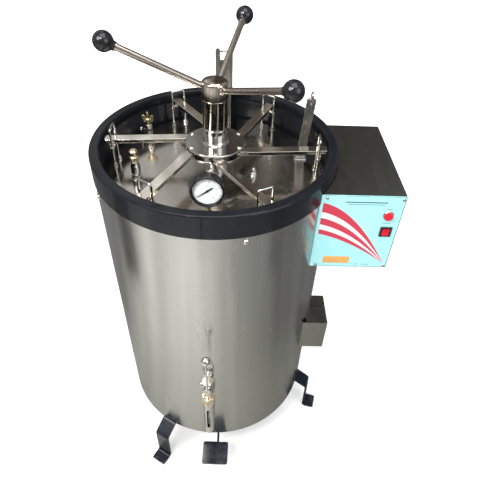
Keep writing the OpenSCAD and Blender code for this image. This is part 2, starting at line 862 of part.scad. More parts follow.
// ---------------------------------------------------------------- valves on the lid

module safety_valve() {
    color([0.62, 0.6, 0.55]) on_lid(safety_at) difference() {
        union() {
            lid_fitting(r = 8, flats = 19, top = 10);
            rotate_extrude() polygon([
                [0, 9], [8, 9], [8, 13], [10.5, 16],
                [10.5, 34], [8.5, 38], [8.5, 44], [0, 44]]);
        }
        zcyl(4.05, 20, 46);
    }
}

// weight cap that lifts to relieve pressure
module safety_cap() {
    color([0.86, 0.7, 0.4]) on_lid(safety_at) {
        zcyl(4, 26, 48);
        rotate_extrude() polygon([
            [0, 46], [9, 46], [10.5, 48], [10.5, 56], [8, 59],
            [8, 64], [9.5, 66], [9.5, 70], [6, 73], [0, 73]]);
    }
}

module vent_valve() {
    outlet_az = 150;
    outlet_z = 22;
    color([0.8, 0.78, 0.7]) on_lid(vent_at) difference() {
        union() {
            lid_fitting(r = 8, flats = 19, top = 10);
            zcyl(8, 9, 32);
            up(outlet_z) at_az(outlet_az) {
                xcyl(5.5, 0, 20);
                xcyl(4, 20, 27);
            }
            hex(15, 31, 40);
        }
        zcyl(3.55, 24, 42);
        up(outlet_z) at_az(outlet_az) xcyl(2.5, 4, 30);
    }
}

// needle spindle with a wing knob
module vent_knob() {
    color([0.86, 0.74, 0.48]) on_lid(vent_at) {
        zcyl(3.5, 26, 48);
        zcyl(6, 46, 56);
        for (side = [-1, 1]) translate([side * 8, 0, 54]) rotate([0, side * 16, 0])
            block([-4.5, -1.6, -6], [4.5, 1.6, 12]);
        zcyl(2.5, 55, 74);
    }
}

// ---------------------------------------------------------------- lock

// puts its children on each spoke, with +X outward along it
module at_spokes() {
    for (i = [0 : 2])
        up(top_z + 113) rotate([0, 0, spoke_az[i]]) rotate([0, -spoke_el[i], 0]) children();
}

// sleeve and domed head that carry the spokes
module handle_head() {
    color([0.74, 0.71, 0.66]) difference() {
        // [radius, height above the ring top]
        up(top_z) rotate_extrude() polygon([
            [0, 33.05], [26.4, 33.05], [27.5, 34.5], [27.5, 98], [28.2, 99],
            [28.2, 133], [26.5, 136], [20, 138.6], [10, 140], [0, 140.4]]);
        up(top_z) zcyl(spindle_r + 0.05, 30, 99);
        at_spokes() xcyl(spoke_d / 2 + 0.05, 17, 40);
    }
}

module spokes() {
    color([0.72, 0.68, 0.62]) at_spokes() xcyl(spoke_d / 2, 17.2, spoke_len + 3);
}

module ball_knobs() {
    color([0.02, 0.02, 0.02]) at_spokes() difference() {
        union() {
            translate([spoke_len, 0, 0]) sphere(r = ball_d / 2, $fn = 96);
            xcyl(9.5, spoke_len - ball_d / 2 - 2.5, spoke_len - 10);
        }
        xcyl(spoke_d / 2 + 0.05, spoke_len - 40, spoke_len + 3.2);
    }
}

// grooved disc that swings the arms, with its hub collar
module arm_disc() {
    bore_r = spindle_r + 0.05;
    color([0.76, 0.74, 0.7]) difference() {
        // [radius, height above the ring top]
        up(top_z) rotate_extrude() polygon([
            [bore_r, -25.5], [66.5, -25.5], [68, -24], [68, -20.1], [46, -20.1],
            [46, -8.1], [68, -8.1], [68, -4.5], [67, -3.6], [31, -3.2],
            [28, -1], [25.5, 3], [25.5, 29], [24, 31], [24, 33], [bore_r, 33]]);
        at_arm_pins() up(top_z - 30) cylinder(r = 4, h = 40, $fn = 48);
    }
}

module arm_pins() {
    color([0.6, 0.6, 0.6]) at_arm_pins() up(top_z) {
        zcyl(3.98, -25.4, -3);
        zcyl(5.4, -3.15, -0.5);
    }
}

// one arm: eye at its pin, straight bar through its guide, bevelled tip
module arm(i) {
    eye_r = 9;
    half_w = arm_w / 2;
    bevel = 3;
    color([0.78, 0.72, 0.62]) at_az(guide_az[i])
        translate([pin_circle * cos(trail), -pin_circle * sin(trail), arm_z])
            rotate([0, 0, arm_turn]) difference() {
                union() {
                    cylinder(r = eye_r, h = arm_t);
                    block([0, -eye_r, 0], [16, eye_r, arm_t]);
                    linear_extrude(arm_t) polygon([
                        [15, -eye_r], [24, -half_w], [arm_len - bevel, -half_w],
                        [arm_len, -half_w + bevel], [arm_len, half_w - bevel],
                        [arm_len - bevel, half_w], [24, half_w], [15, eye_r]]);
                }
                up(-1) cylinder(r = 4.03, h = arm_t + 2, $fn = 48);
            }
}
module arm_1() { arm(0); }
module arm_2() { arm(1); }
module arm_3() { arm(2); }
module arm_4() { arm(3); }
module arm_5() { arm(4); }
module arm_6() { arm(5); }

// moves a piece from the vessel axis to the middle of the outline
module place() { translate(-outline_mid) children(); }

place() outer_jacket();
place() base_plate();
place() inner_chamber();
place() locking_ring();
place() insulation();
place() lid_gasket();
place() heater_element();
place() heater_leads();
place() basket_stand();
place() basket();
place() bail_handle();
place() leg_left();
place() leg_right();
place() leg_rear();
place() leg_bolts();
place() cover_screws();
place() control_box();
place() control_panel();
place() lamp_bezel();
place() lamp_lens();
place() switch_bezel();
place() rocker();
place() contactor();
place() terminal_box();
place() level_cock();
place() cock_key();
place() level_guard();
place() level_glass();
place() level_foot();
place() pedal_bracket();
place() pivot_pin();
place() pedal_lever();
place() column_guides();
place() lift_column();
place() lid_plate();
place() spindle_bolt();
place() lid_lug();
place() lug_loop();
place() arm_guides();
place() lid_fasteners();
place() gauge_stem();
place() gauge_case();
place() gauge_dial();
place() gauge_glass();
place() gauge_needle();
place() safety_valve();
place() safety_cap();
place() vent_valve();
place() vent_knob();
place() handle_head();
place() spokes();
place() ball_knobs();
place() arm_disc();
place() arm_pins();
place() arm_1();
place() arm_2();
place() arm_3();
place() arm_4();
place() arm_5();
place() arm_6();
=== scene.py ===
"""An upright cylindrical pressure vessel on three legs, with its fittings and a studio.

The vessel has a round lid held by six arms and a lock wheel, a gauge and two valves on the lid,
a control box, a water level unit and a pedal. The axis of the vessel is vertical, the floor is
at z = 0, the front faces -Y and the control box is on the +X side. Shapes are drawn in
millimetres about that axis and become metres in Shape.make. Studio sizes are in metres.
"""
import bpy
import bmesh
import json
from math import acos, asin, atan2, cos, pi, radians, sin, sqrt, tan
from mathutils import Matrix, Vector

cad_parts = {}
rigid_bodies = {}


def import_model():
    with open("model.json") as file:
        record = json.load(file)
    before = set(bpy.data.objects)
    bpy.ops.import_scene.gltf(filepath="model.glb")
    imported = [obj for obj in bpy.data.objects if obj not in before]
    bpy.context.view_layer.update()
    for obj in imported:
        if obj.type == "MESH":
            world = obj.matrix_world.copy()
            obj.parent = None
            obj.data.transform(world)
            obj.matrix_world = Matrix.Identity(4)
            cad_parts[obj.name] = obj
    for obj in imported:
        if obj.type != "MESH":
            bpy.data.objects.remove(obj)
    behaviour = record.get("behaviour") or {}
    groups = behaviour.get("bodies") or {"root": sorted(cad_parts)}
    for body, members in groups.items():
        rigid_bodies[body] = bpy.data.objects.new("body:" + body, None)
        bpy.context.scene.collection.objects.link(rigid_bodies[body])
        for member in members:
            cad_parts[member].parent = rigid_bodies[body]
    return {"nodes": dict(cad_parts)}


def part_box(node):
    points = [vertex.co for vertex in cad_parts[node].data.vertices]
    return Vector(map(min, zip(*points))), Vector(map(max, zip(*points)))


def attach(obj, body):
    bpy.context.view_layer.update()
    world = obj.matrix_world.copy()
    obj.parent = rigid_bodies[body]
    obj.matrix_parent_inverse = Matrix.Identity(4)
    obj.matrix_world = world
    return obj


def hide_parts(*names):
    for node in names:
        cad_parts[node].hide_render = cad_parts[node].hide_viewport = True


for old in list(bpy.data.objects):
    bpy.data.objects.remove(old)
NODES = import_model()["nodes"]
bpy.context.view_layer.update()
SCENE = bpy.context.scene
MM = 0.001

# ------------------------------------------------------------------ sizes read from the frame

jacket_min, jacket_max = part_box("outer_jacket")
AXIS = Vector(((jacket_min.x + jacket_max.x) / 2, (jacket_min.y + jacket_max.y) / 2, 0))


def box_mm(node):
    """Lowest and highest corner of a CAD node, in mm from the vessel axis and the floor."""
    return [((p.x - AXIS.x) * 1000, (p.y - AXIS.y) * 1000, p.z * 1000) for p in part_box(node)]


JACKET_R = (jacket_max.x - jacket_min.x) * 500
JACKET_LOW, JACKET_TOP = jacket_min.z * 1000, jacket_max.z * 1000
RING_TOP = box_mm("locking_ring")[1][2]
LID_THICK = 11.95
LID_TOP = box_mm("lid_plate")[0][2] + LID_THICK
RING_RISE = RING_TOP - LID_TOP
ARM_LOW = box_mm("arm_1")[0][2]
(PANEL_X0, PANEL_Y, PANEL_Z0), (PANEL_X1, _, PANEL_Z1) = box_mm("control_panel")
(TERMINAL_X0, TERMINAL_Y, TERMINAL_Z0), (TERMINAL_X1, _, TERMINAL_Z1) = box_mm("terminal_box")

# places on the lid, x and y
GAUGE = (-8.0, -171.0)
SAFETY = (-176.0, -52.0)
VENT = (-172.0, 121.0)
LUG = (203.0, 50.0)
PLUG = (88.0, -27.0)

# turns about the axis, in degrees
ARM_TURNS = range(-3, 357, 60)
LEG_TURNS = {"left": -121, "right": -14.5, "rear": 112}
LEVEL_TURN = -92.3

COLUMN_X = 10       # lifting column behind the vessel, and the pedal below


def move(x, y, z):
    return Matrix.Translation(Vector((x, y, z)))


def rot_x(degrees):
    return Matrix.Rotation(radians(degrees), 4, "X")


def rot_y(degrees):
    return Matrix.Rotation(radians(degrees), 4, "Y")


def rot_z(degrees):
    return Matrix.Rotation(radians(degrees), 4, "Z")


ON_RING = move(0, 0, RING_TOP)
ON_LID = move(0, 0, LID_TOP)

# ------------------------------------------------------------------ shader helpers

MAT = {}


def scaled(colour, factor):
    return tuple(c * factor for c in colour)


class Nodes:
    """Short ways to add and link nodes in a cleared shader tree."""

    def __init__(self, tree):
        self.tree = tree
        tree.nodes.clear()

    def node(self, kind, **settings):
        node = self.tree.nodes.new(kind)
        for key, value in settings.items():
            setattr(node, key, value)
        return node

    def feed(self, socket, value):
        """Links a socket into an input, or sets the input; colours have three parts."""
        if isinstance(value, bpy.types.NodeSocket):
            self.tree.links.new(value, socket)
        else:
            socket.default_value = (*value, 1.0) if socket.type == "RGBA" else value

    def math(self, operation, a, b=0.0):
        node = self.node("ShaderNodeMath", operation=operation)
        self.feed(node.inputs[0], a)
        self.feed(node.inputs[1], b)
        return node.outputs[0]

    def coordinates(self, kind):
        return self.node("ShaderNodeTexCoord").outputs[kind]

    def stretch(self, vector, scale, location=(0, 0, 0)):
        node = self.node("ShaderNodeMapping")
        self.feed(node.inputs["Vector"], vector)
        self.feed(node.inputs["Scale"], scale)
        self.feed(node.inputs["Location"], location)
        return node.outputs[0]

    def split(self, vector):
        node = self.node("ShaderNodeSeparateXYZ")
        self.feed(node.inputs[0], vector)
        return node.outputs

    def combine(self, *parts):
        node = self.node("ShaderNodeCombineXYZ")
        for socket, part in zip(node.inputs, parts):
            self.feed(socket, part)
        return node.outputs[0]

    def polar(self, vector):
        """Radius, turn about Z in radians, and height."""
        x, y, z = self.split(vector)
        squares = self.math("ADD", self.math("MULTIPLY", x, x), self.math("MULTIPLY", y, y))
        return self.combine(self.math("SQRT", squares), self.math("ARCTAN2", y, x), z)

    def noise(self, vector, scale, detail=3.0, rough=0.55):
        node = self.node("ShaderNodeTexNoise")
        self.feed(node.inputs["Vector"], vector)
        self.feed(node.inputs["Scale"], scale)
        self.feed(node.inputs["Detail"], detail)
        self.feed(node.inputs["Roughness"], rough)
        return node.outputs[0]

    def ramp(self, factor, stops):
        """Colour ramp; stops are (position, colour) in rising order."""
        node = self.node("ShaderNodeValToRGB")
        self.feed(node.inputs[0], factor)
        elements = node.color_ramp.elements
        while len(elements) < len(stops):
            elements.new(0.5)
        for element, (position, colour) in zip(elements, stops):
            element.position = position
            element.color = (*colour, 1)
        return node.outputs[0]

    def remap(self, value, from_low, from_high, to_low=0.0, to_high=1.0):
        node = self.node("ShaderNodeMapRange")
        for socket, item in zip(node.inputs, (value, from_low, from_high, to_low, to_high)):
            self.feed(socket, item)
        return node.outputs[0]

    def mix(self, factor, a, b, blend="MIX"):
        node = self.node("ShaderNodeMix", data_type="RGBA", blend_type=blend)
        for index, value in ((0, factor), (6, a), (7, b)):
            self.feed(node.inputs[index], value)
        return node.outputs[2]


class Shader(Nodes):
    """A Principled material, entered in MAT; place is the position about the vessel axis."""

    def __init__(self, name):
        material = bpy.data.materials.new(name)
        material.use_nodes = True
        super().__init__(material.node_tree)
        output = self.node("ShaderNodeOutputMaterial")
        self.principled = self.node("ShaderNodeBsdfPrincipled")
        self.feed(output.inputs[0], self.principled.outputs[0])
        self.place = self.stretch(self.coordinates("Object"), (1, 1, 1), location=-AXIS)
        MAT[name] = material

    def set(self, name, value):
        self.feed(self.principled.inputs[name], value)

    def spots(self, scale, detail, rough):
        """Noise that is not stretched."""
        return self.noise(self.place, scale, detail, rough)

    def bump(self, height, strength, distance):
        node = self.node("ShaderNodeBump")
        self.feed(node.inputs["Height"], height)
        self.feed(node.inputs["Strength"], strength)
        self.feed(node.inputs["Distance"], distance)
        self.set("Normal", node.outputs[0])

    def edges(self):
        """1 on outward edges, 0 elsewhere."""
        pointiness = self.node("ShaderNodeNewGeometry").outputs["Pointiness"]
        return self.remap(pointiness, 0.515, 0.56)

    def subsurface(self, weight, radius):
        self.set("Subsurface Weight", weight)
        self.set("Subsurface Radius", radius)


def metal(name, base, rough, scale, spread, smudge, tint, bump, grain=(1, 1, 1), polar=False,
          aniso=0.0, dark=None, spot=0.0):
    """Brushed or polished metal.

    scale is the fineness of the grain and grain its stretch along X, Y, Z, or along radius,
    turn and height when polar. spread is the swing of roughness with the grain, smudge the
    roughness added in patches, tint the depth of colour change, dark the colour between the
    grain lines, aniso the pull of highlights round the axis, spot the strength of dark specks.
    """
    m = Shader(name)
    vector = m.polar(m.place) if polar else m.place
    fine = m.noise(m.stretch(vector, grain), scale=scale, detail=4.0, rough=0.6)
    coarse = m.noise(m.stretch(vector, scaled(grain, 0.23)), scale=scale, detail=3.0, rough=0.5)
    broad = m.spots(scale=5.5, detail=4.0, rough=0.6)
    patches = m.noise(m.stretch(m.place, (1, 1, 0.45)), scale=23.0, detail=5.0, rough=0.62)
    brushed = m.math("ADD", m.math("MULTIPLY", fine, 0.6), m.math("MULTIPLY", coarse, 0.4))
    roughness = m.math("ADD", m.remap(brushed, 0.3, 0.7, rough - spread, rough + spread),
                       m.remap(patches, 0.45, 0.75, 0.0, smudge))
    m.set("Roughness", m.math("MAXIMUM", roughness, 0.02))
    dark = dark or scaled(base, 1 - tint * 2.2)
    warm = tuple(min(1, c * f) for c, f in zip(base, (0.97, 0.93, 0.86)))
    colour = m.mix(m.remap(brushed, 0.35, 0.65), dark, base)
    colour = m.mix(m.remap(broad, 0.35, 0.7, 0, tint * 4), colour, warm)
    if spot:
        specks = m.spots(scale=260.0, detail=2.0, rough=0.5)
        colour = m.mix(m.remap(specks, 0.62, 0.72, 0, spot), colour, scaled(base, 0.5))
    m.set("Base Color", colour)
    m.set("Metallic", 1.0)
    if bump:
        m.bump(brushed, strength=bump, distance=0.0004)
    if aniso:
        m.set("Anisotropic", aniso)
        tangent = m.node("ShaderNodeTangent", direction_type="RADIAL", axis="Z")
        m.set("Tangent", tangent.outputs[0])


def enamel(name, base, rough, peel, wear, coat, edge=(0.30, 0.29, 0.28), dust=0.05, spec=0.5):
    """Glossy paint: peel is its orange-peel bump, wear how far edges show the edge colour."""
    m = Shader(name)
    broad = m.spots(scale=7.0, detail=5.0, rough=0.6)
    fine = m.spots(scale=420.0, detail=2.0, rough=0.5)
    patches = m.spots(scale=60.0, detail=5.0, rough=0.65)
    worn = m.math("MULTIPLY", m.edges(), m.remap(patches, 0.50, 0.68, 0.0, wear))
    faded = tuple(min(1, c * 1.35 + 0.004) for c in base)
    dust_colour = (0.09, 0.088, 0.084)
    colour = m.mix(m.remap(broad, 0.3, 0.75), base, faded)
    colour = m.mix(m.remap(patches, 0.60, 0.85, 0.0, dust), colour, dust_colour)
    m.set("Base Color", m.mix(worn, colour, edge))
    m.set("Roughness", m.math("ADD", m.remap(patches, 0.3, 0.75, rough, rough + 0.12),
                              m.math("MULTIPLY", worn, 0.2)))
    m.set("Specular IOR Level", spec)
    m.set("Coat Weight", coat)
    m.set("Coat Roughness", 0.05)
    m.bump(fine, strength=peel, distance=0.0005)


def plastic(name, base, rough, grain, bump, var=0.15, sub=0.0):
    """Matt solid: grain is the fineness of its bump, var the depth of its colour change."""
    m = Shader(name)
    broad = m.spots(scale=14.0, detail=4.0, rough=0.6)
    fine = m.spots(scale=grain, detail=2.0, rough=0.5)
    darker = tuple(c * (1 - var) + 0.004 for c in base)
    lighter = tuple(min(1, c * 1.5 + 0.03) for c in base)
    colour = m.mix(m.remap(broad, 0.3, 0.7), base, darker)
    m.set("Base Color", m.mix(m.math("MULTIPLY", m.edges(), 0.25), colour, lighter))
    m.set("Roughness", m.remap(broad, 0.3, 0.75, rough, rough + 0.1))
    m.bump(fine, strength=bump, distance=0.0004)
    if sub:
        m.subsurface(weight=sub, radius=(0.004, 0.001, 0.001))


def clear_glass():
    m = Shader("clear_glass")
    m.set("Base Color", (0.96, 0.99, 0.985))
    m.set("Transmission Weight", 1.0)
    m.set("IOR", 1.47)
    smears = m.spots(scale=40.0, detail=4.0, rough=0.6)
    m.set("Roughness", m.remap(smears, 0.4, 0.8, 0.02, 0.02 + 0.05))


def lens_red():
    m = Shader("lens_red")
    cloud = m.spots(scale=300.0, detail=3.0, rough=0.6)
    light, dark = (0.75, 0.010, 0.03), (0.55, 0.006, 0.02)
    m.set("Base Color", m.mix(m.remap(cloud, 0.3, 0.7), light, dark))
    m.set("Roughness", m.remap(cloud, 0.3, 0.7, 0.30, 0.42))
    m.subsurface(weight=0.25, radius=(0.006, 0.001, 0.001))
    m.set("Specular IOR Level", 0.3)


def panel_paint():
    m = Shader("panel_paint")
    broad = m.spots(scale=9.0, detail=4.0, rough=0.6)
    patches = m.spots(scale=90.0, detail=4.0, rough=0.6)
    fine = m.spots(scale=1500.0, detail=2.0, rough=0.5)
    dark, light, stain = (0.345, 0.72, 0.74), (0.40, 0.76, 0.775), (0.28, 0.58, 0.62)
    colour = m.mix(m.remap(broad, 0.3, 0.7), dark, light)
    m.set("Base Color", m.mix(m.remap(patches, 0.62, 0.8, 0, 0.25), colour, stain))
    m.set("Roughness", m.remap(patches, 0.3, 0.7, 0.20, 0.30))
    m.bump(fine, strength=0.02, distance=0.0003)
    m.set("Coat Weight", 0.25)


# ------------------------------------------------------------------ materials

metal("jacket_steel", base=(0.515, 0.515, 0.495), rough=0.20, grain=(1, 260, 1.0), scale=3.0,
      spread=0.035, smudge=0.10, tint=0.05, bump=0.0, polar=True, spot=0.18)
metal("lid_steel", base=(0.54, 0.52, 0.485), rough=0.14, grain=(150, 1.2, 1), scale=3.2,
      spread=0.05, smudge=0.12, tint=0.08, bump=0.0, aniso=0.45, polar=True, spot=0.12)
metal("vessel_steel", base=(0.62, 0.62, 0.60), rough=0.26, grain=(1, 40, 9), scale=12.0,
      spread=0.06, smudge=0.08, tint=0.06, bump=0.02, polar=True)
metal("wire_steel", base=(0.62, 0.61, 0.59), rough=0.22, scale=160.0,
      spread=0.05, smudge=0.06, tint=0.06, bump=0.03)
enamel("ring_black", base=(0.006, 0.007, 0.010), rough=0.28, peel=0.010, wear=0.25,
       coat=0.30, spec=0.10, dust=0.03)
enamel("leg_black", base=(0.006, 0.009, 0.015), rough=0.24, peel=0.02, wear=0.40,
       edge=(0.10, 0.10, 0.10), coat=0.38, spec=0.15, dust=0.03)
metal("wheel_nickel", base=(0.56, 0.50, 0.43), rough=0.11, grain=(3, 3, 60), scale=6.0,
      spread=0.04, smudge=0.08, tint=0.07, bump=0.0)
metal("spoke_nickel", base=(0.50, 0.455, 0.40), rough=0.15, scale=260.0,
      spread=0.05, smudge=0.08, tint=0.08, bump=0.01)
metal("disc_chrome", base=(0.54, 0.53, 0.505), rough=0.12, grain=(130, 1.0, 12), scale=3.0,
      spread=0.05, smudge=0.07, tint=0.05, bump=0.0, polar=True)
metal("arm_nickel", base=(0.88, 0.84, 0.765), rough=0.085, grain=(8, 8, 8), scale=30.0,
      spread=0.03, smudge=0.09, tint=0.07, bump=0.0)
metal("bar_steel", base=(0.50, 0.49, 0.455), rough=0.27, grain=(1, 1, 0.05), scale=700.0,
      spread=0.07, smudge=0.08, tint=0.08, bump=0.03)
metal("rod_bright", base=(0.68, 0.67, 0.645), rough=0.12, scale=220.0,
      spread=0.05, smudge=0.07, tint=0.05, bump=0.01)
metal("bolt_plated", base=(0.70, 0.69, 0.66), rough=0.16, scale=320.0,
      spread=0.06, smudge=0.08, tint=0.06, bump=0.02)
metal("fitting_chrome", base=(0.72, 0.70, 0.655), rough=0.10, scale=240.0,
      spread=0.05, smudge=0.08, tint=0.06, bump=0.01)
metal("fitting_brass", base=(0.76, 0.655, 0.45), rough=0.17, scale=260.0,
      spread=0.06, smudge=0.10, tint=0.08, bump=0.02)
metal("box_steel", base=(0.205, 0.208, 0.188), rough=0.34, grain=(1.0, 0.02, 1.0), scale=700.0,
      spread=0.05, smudge=0.05, tint=0.06, bump=0.01)
metal("tbox_steel", base=(0.42, 0.41, 0.385), rough=0.28, grain=(0.05, 1.0, 1.0), scale=800.0,
      spread=0.07, smudge=0.07, tint=0.06, bump=0.03)
metal("strap_steel", base=(0.36, 0.36, 0.35), rough=0.30, grain=(1, 1, 0.1), scale=500.0,
      spread=0.07, smudge=0.08, tint=0.08, bump=0.03)
metal("heater_steel", base=(0.36, 0.33, 0.31), rough=0.34, scale=90.0,
      spread=0.08, smudge=0.10, tint=0.12, bump=0.03, dark=(0.17, 0.14, 0.16))
plastic("knob_phenolic", base=(0.009, 0.009, 0.011), rough=0.09, grain=600.0, bump=0.015)
plastic("black_moulding", base=(0.012, 0.012, 0.013), rough=0.30, grain=900.0, bump=0.06)
enamel("case_black", base=(0.010, 0.010, 0.012), rough=0.20, peel=0.05, wear=0.3, coat=0.4)
plastic("silicone_red", base=(0.42, 0.10, 0.06), rough=0.45, grain=500.0, bump=0.05, sub=0.1)
plastic("glass_sleeve", base=(0.60, 0.22, 0.06), rough=0.6, grain=1500.0, bump=0.3)
plastic("glass_wool", base=(0.75, 0.66, 0.36), rough=0.9, grain=350.0, bump=0.9, var=0.3)
clear_glass()
plastic("dial_white", base=(0.88, 0.89, 0.88), rough=0.35, grain=900.0, bump=0.01, var=0.03)
# black for printed ink, and also for the painted edge shade round the control panel
plastic("ink_and_edge_shade_black", base=(0.015, 0.015, 0.017), rough=0.4, grain=900.0, bump=0.01)
plastic("ink_blue", base=(0.10, 0.28, 0.36), rough=0.4, grain=900.0, bump=0.01)
plastic("needle_black", base=(0.012, 0.012, 0.012), rough=0.35, grain=900.0, bump=0.02)
plastic("print_crimson", base=(0.53, 0.020, 0.055), rough=0.30, grain=1200.0, bump=0.02, var=0.10)
plastic("print_white", base=(0.72, 0.78, 0.78), rough=0.30, grain=1200.0, bump=0.02, var=0.04)
plastic("label_amber", base=(0.74, 0.36, 0.09), rough=0.4, grain=1200.0, bump=0.02, var=0.10)
lens_red()
# darker red for the switch marks, painted shade of engraved grooves
plastic("engraving_shade_red", base=(0.30, 0.006, 0.012), rough=0.4, grain=900.0, bump=0.02)
plastic("oring_rubber", base=(0.012, 0.012, 0.013), rough=0.45, grain=900.0, bump=0.05)
panel_paint()

# ------------------------------------------------------------------ shapes, all in mm
# A part is (points, faces). Functions below that end in a solid return one.


def modify(thing, name, kind, **settings):
    modifier = thing.modifiers.new(name, kind)
    for key, value in settings.items():
        setattr(modifier, key, value)


class Shape:
    """A mesh put together from parts, each placed by a matrix."""

    def __init__(self):
        self.points = []
        self.faces = []

    def add(self, part, place=Matrix()):
        points, faces = part
        start = len(self.points)
        self.points += [tuple(place @ Vector(p)) for p in points]
        self.faces += [tuple(i + start for i in face) for face in faces]
        return self

    def make(self, name, material, body, slot, replaces=None, weighted=True, sharp=38):
        """Turns the parts into an object in metres; edges over sharp degrees stay hard."""
        mesh = bpy.data.meshes.new(name)
        mesh.from_pydata([(x * MM, y * MM, z * MM) for x, y, z in self.points], [], self.faces)
        mesh.validate()
        mesh.transform(Matrix.Translation(AXIS))
        work = bmesh.new()
        work.from_mesh(mesh)
        bmesh.ops.recalc_face_normals(work, faces=work.faces)
        work.to_mesh(mesh)
        work.free()
        mesh.shade_smooth()
        mesh.set_sharp_from_angle(angle=radians(sharp))
        mesh.materials.append(MAT[material])
        thing = bpy.data.objects.new(name, mesh)
        SCENE.collection.objects.link(thing)
        if weighted:
            modify(thing, "wn", "WEIGHTED_NORMAL", keep_sharp=True, weight=80)
        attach(thing, body)
        if replaces:
            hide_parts(replaces)
        if material == "clear_glass":
            thing.visible_shadow = False


def fillet(outline, radii, steps=4, closed=True):
    """Rounds the corners of a 2D outline. radii is one radius or one per point."""
    rounded = []
    count = len(outline)
    if not hasattr(radii, "__len__"):
        radii = [radii] * count
    for i, point in enumerate(outline):
        if (not closed and i in (0, count - 1)) or radii[i] <= 0:
            rounded.append(tuple(point))
            continue
        corner = Vector(point)
        back = Vector(outline[i - 1]) - corner
        ahead = Vector(outline[(i + 1) % count]) - corner
        back_length, ahead_length = back.length, ahead.length
        if back_length < 1e-9 or ahead_length < 1e-9:
            continue
        back.normalize()
        ahead.normalize()
        angle = acos(max(-1, min(1, back.dot(ahead))))
        if angle > radians(174):
            rounded.append(tuple(point))
            continue
        # the cut along each side stays under half its length
        cut = min(radii[i] / tan(angle / 2), 0.46 * back_length, 0.46 * ahead_length)
        radius = cut * tan(angle / 2)
        centre = corner + (back + ahead).normalized() * (radius / sin(angle / 2))
        start, end = corner + back * cut - centre, corner + ahead * cut - centre
        first = atan2(start.y, start.x)
        turn = (atan2(end.y, end.x) - first + pi) % (2 * pi) - pi
        for k in range(steps + 1):
            a = first + turn * k / steps
            rounded.append((centre.x + radius * cos(a), centre.y + radius * sin(a)))
    return rounded


def rectangle(x0, y0, x1, y1, corner, steps):
    return fillet([(x0, y0), (x1, y0), (x1, y1), (x0, y1)], corner, steps)


def subdivide(path, step, closed=False):
    """Adds points to a 2D path, at least step apart."""
    points = [Vector(p) for p in path]
    fine = []
    for a, b in zip(points, points[1:] + points[:closed]):
        count = max(1, int((b - a).length / step))
        fine += [a + (b - a) * (j / count) for j in range(count)]
    return fine if closed else fine + [points[-1]]


def revolve(profile, segs=96, ripple=None):
    """Turns a closed (radius, z) profile about Z; ripple(angle, radius, z) gives a new radius.

    A profile point on the axis becomes one vertex.
    """
    points, rows = [], []
    for radius, z in profile:
        if radius < 1e-4:
            rows.append([len(points)] * segs)
            points.append((0, 0, z))
            continue
        rows.append(range(len(points), len(points) + segs))
        for k in range(segs):
            a = 2 * pi * k / segs
            r = ripple(a, radius, z) if ripple else radius
            points.append((r * cos(a), r * sin(a), z))
    faces = []
    for row, after in zip(rows, rows[1:] + rows[:1]):
        for k in range(segs):
            n = (k + 1) % segs
            face = tuple(dict.fromkeys((row[k], row[n], after[n], after[k])))
            if len(face) >= 3:
                faces.append(face)
    return points, faces


def lathe(profile, corner=0.5, segs=96, steps=3, ripple=None):
    """Turns rows of (radius, z) or (radius, z, corner radius) about Z, corners rounded.

    Rows of two take the common corner radius, or none on the axis.
    """
    radii = [row[2] if len(row) == 3 else 0 if row[0] < 1e-6 else corner for row in profile]
    return revolve(fillet([row[:2] for row in profile], radii, steps), segs, ripple)


def rod(radius, z0, z1, corner, segs=48):
    return lathe([(0, z0), (radius, z0), (radius, z1), (0, z1)], corner, segs)


def tube(inner, outer, z0, z1, corner, segs, steps=3):
    return lathe([(inner, z0), (outer, z0), (outer, z1), (inner, z1)], corner, segs, steps)


def washer(inner, outer, z0, z1, segs=48):
    return tube(inner, outer, z0, z1, 0.25, segs, steps=2)


def loft(sections, closed=False):
    """Skins loops of equally many 3D points; an open skin gets a cap at each end."""
    size, count = len(sections[0]), len(sections)
    faces = []
    for i in range(count if closed else count - 1):
        row, after = i * size, (i + 1) % count * size
        for k in range(size):
            n = (k + 1) % size
            faces.append((row + k, row + n, after + n, after + k))
    if not closed:
        faces.append(tuple(reversed(range(size))))
        faces.append(tuple(range((count - 1) * size, count * size)))
    return [p for section in sections for p in section], faces


def hexagon(across, z0, z1, bore=0.0):
    """Hexagon nut or head with turned chamfers; bore is the diameter of its hole."""
    flat = across / 2
    chamfer = 0.95 * flat
    slope = tan(radians(28))

    def side(a):
        return flat / cos(a % (pi / 3) - pi / 6)

    def drop(a):
        return max(0.0, side(a) - chamfer) * slope

    rows = [lambda a: (chamfer, z0), lambda a: (side(a), z0 + drop(a)),
            lambda a: (side(a), z1 - drop(a)), lambda a: (chamfer, z1)]
    if bore:
        hole, bevel = bore / 2, 0.35
        rows += [lambda a: (hole + bevel, z1), lambda a: (hole, z1 - bevel),
                 lambda a: (hole, z0 + bevel), lambda a: (hole + bevel, z0)]
    sections = []
    for row in rows:
        section = []
        for k in range(96):
            a = 2 * pi * k / 96
            r, z = row(a)
            section.append((r * cos(a), r * sin(a), z))
        sections.append(section)
    return loft(sections, closed=bore > 0)


def sweep(path, radius, segs=24, closed=False, swell=None):
    """Round bar along a path; swell(i) scales its radius at point i."""
    points = [Vector(p) for p in path]
    last = len(points) - 1
    tangents = []
    for i in range(last + 1):
        before = points[i - 1] if (i or closed) else points[i]
        after = points[(i + 1) % (last + 1)] if (i < last or closed) else points[i]
        tangents.append((after - before).normalized())
    up = Vector((0, 0, 1)) if abs(tangents[0].z) < 0.9 else Vector((1, 0, 0))
    across = tangents[0].cross(up).normalized()
    sections = []
    for i, (point, tangent) in enumerate(zip(points, tangents)):
        across = (across - tangent * across.dot(tangent)).normalized()
        other = tangent.cross(across)
        r = radius * swell(i) if swell else radius
        turns = [2 * pi * k / segs for k in range(segs)]
        sections.append([point + (across * cos(a) + other * sin(a)) * r for a in turns])
    return loft(sections, closed)


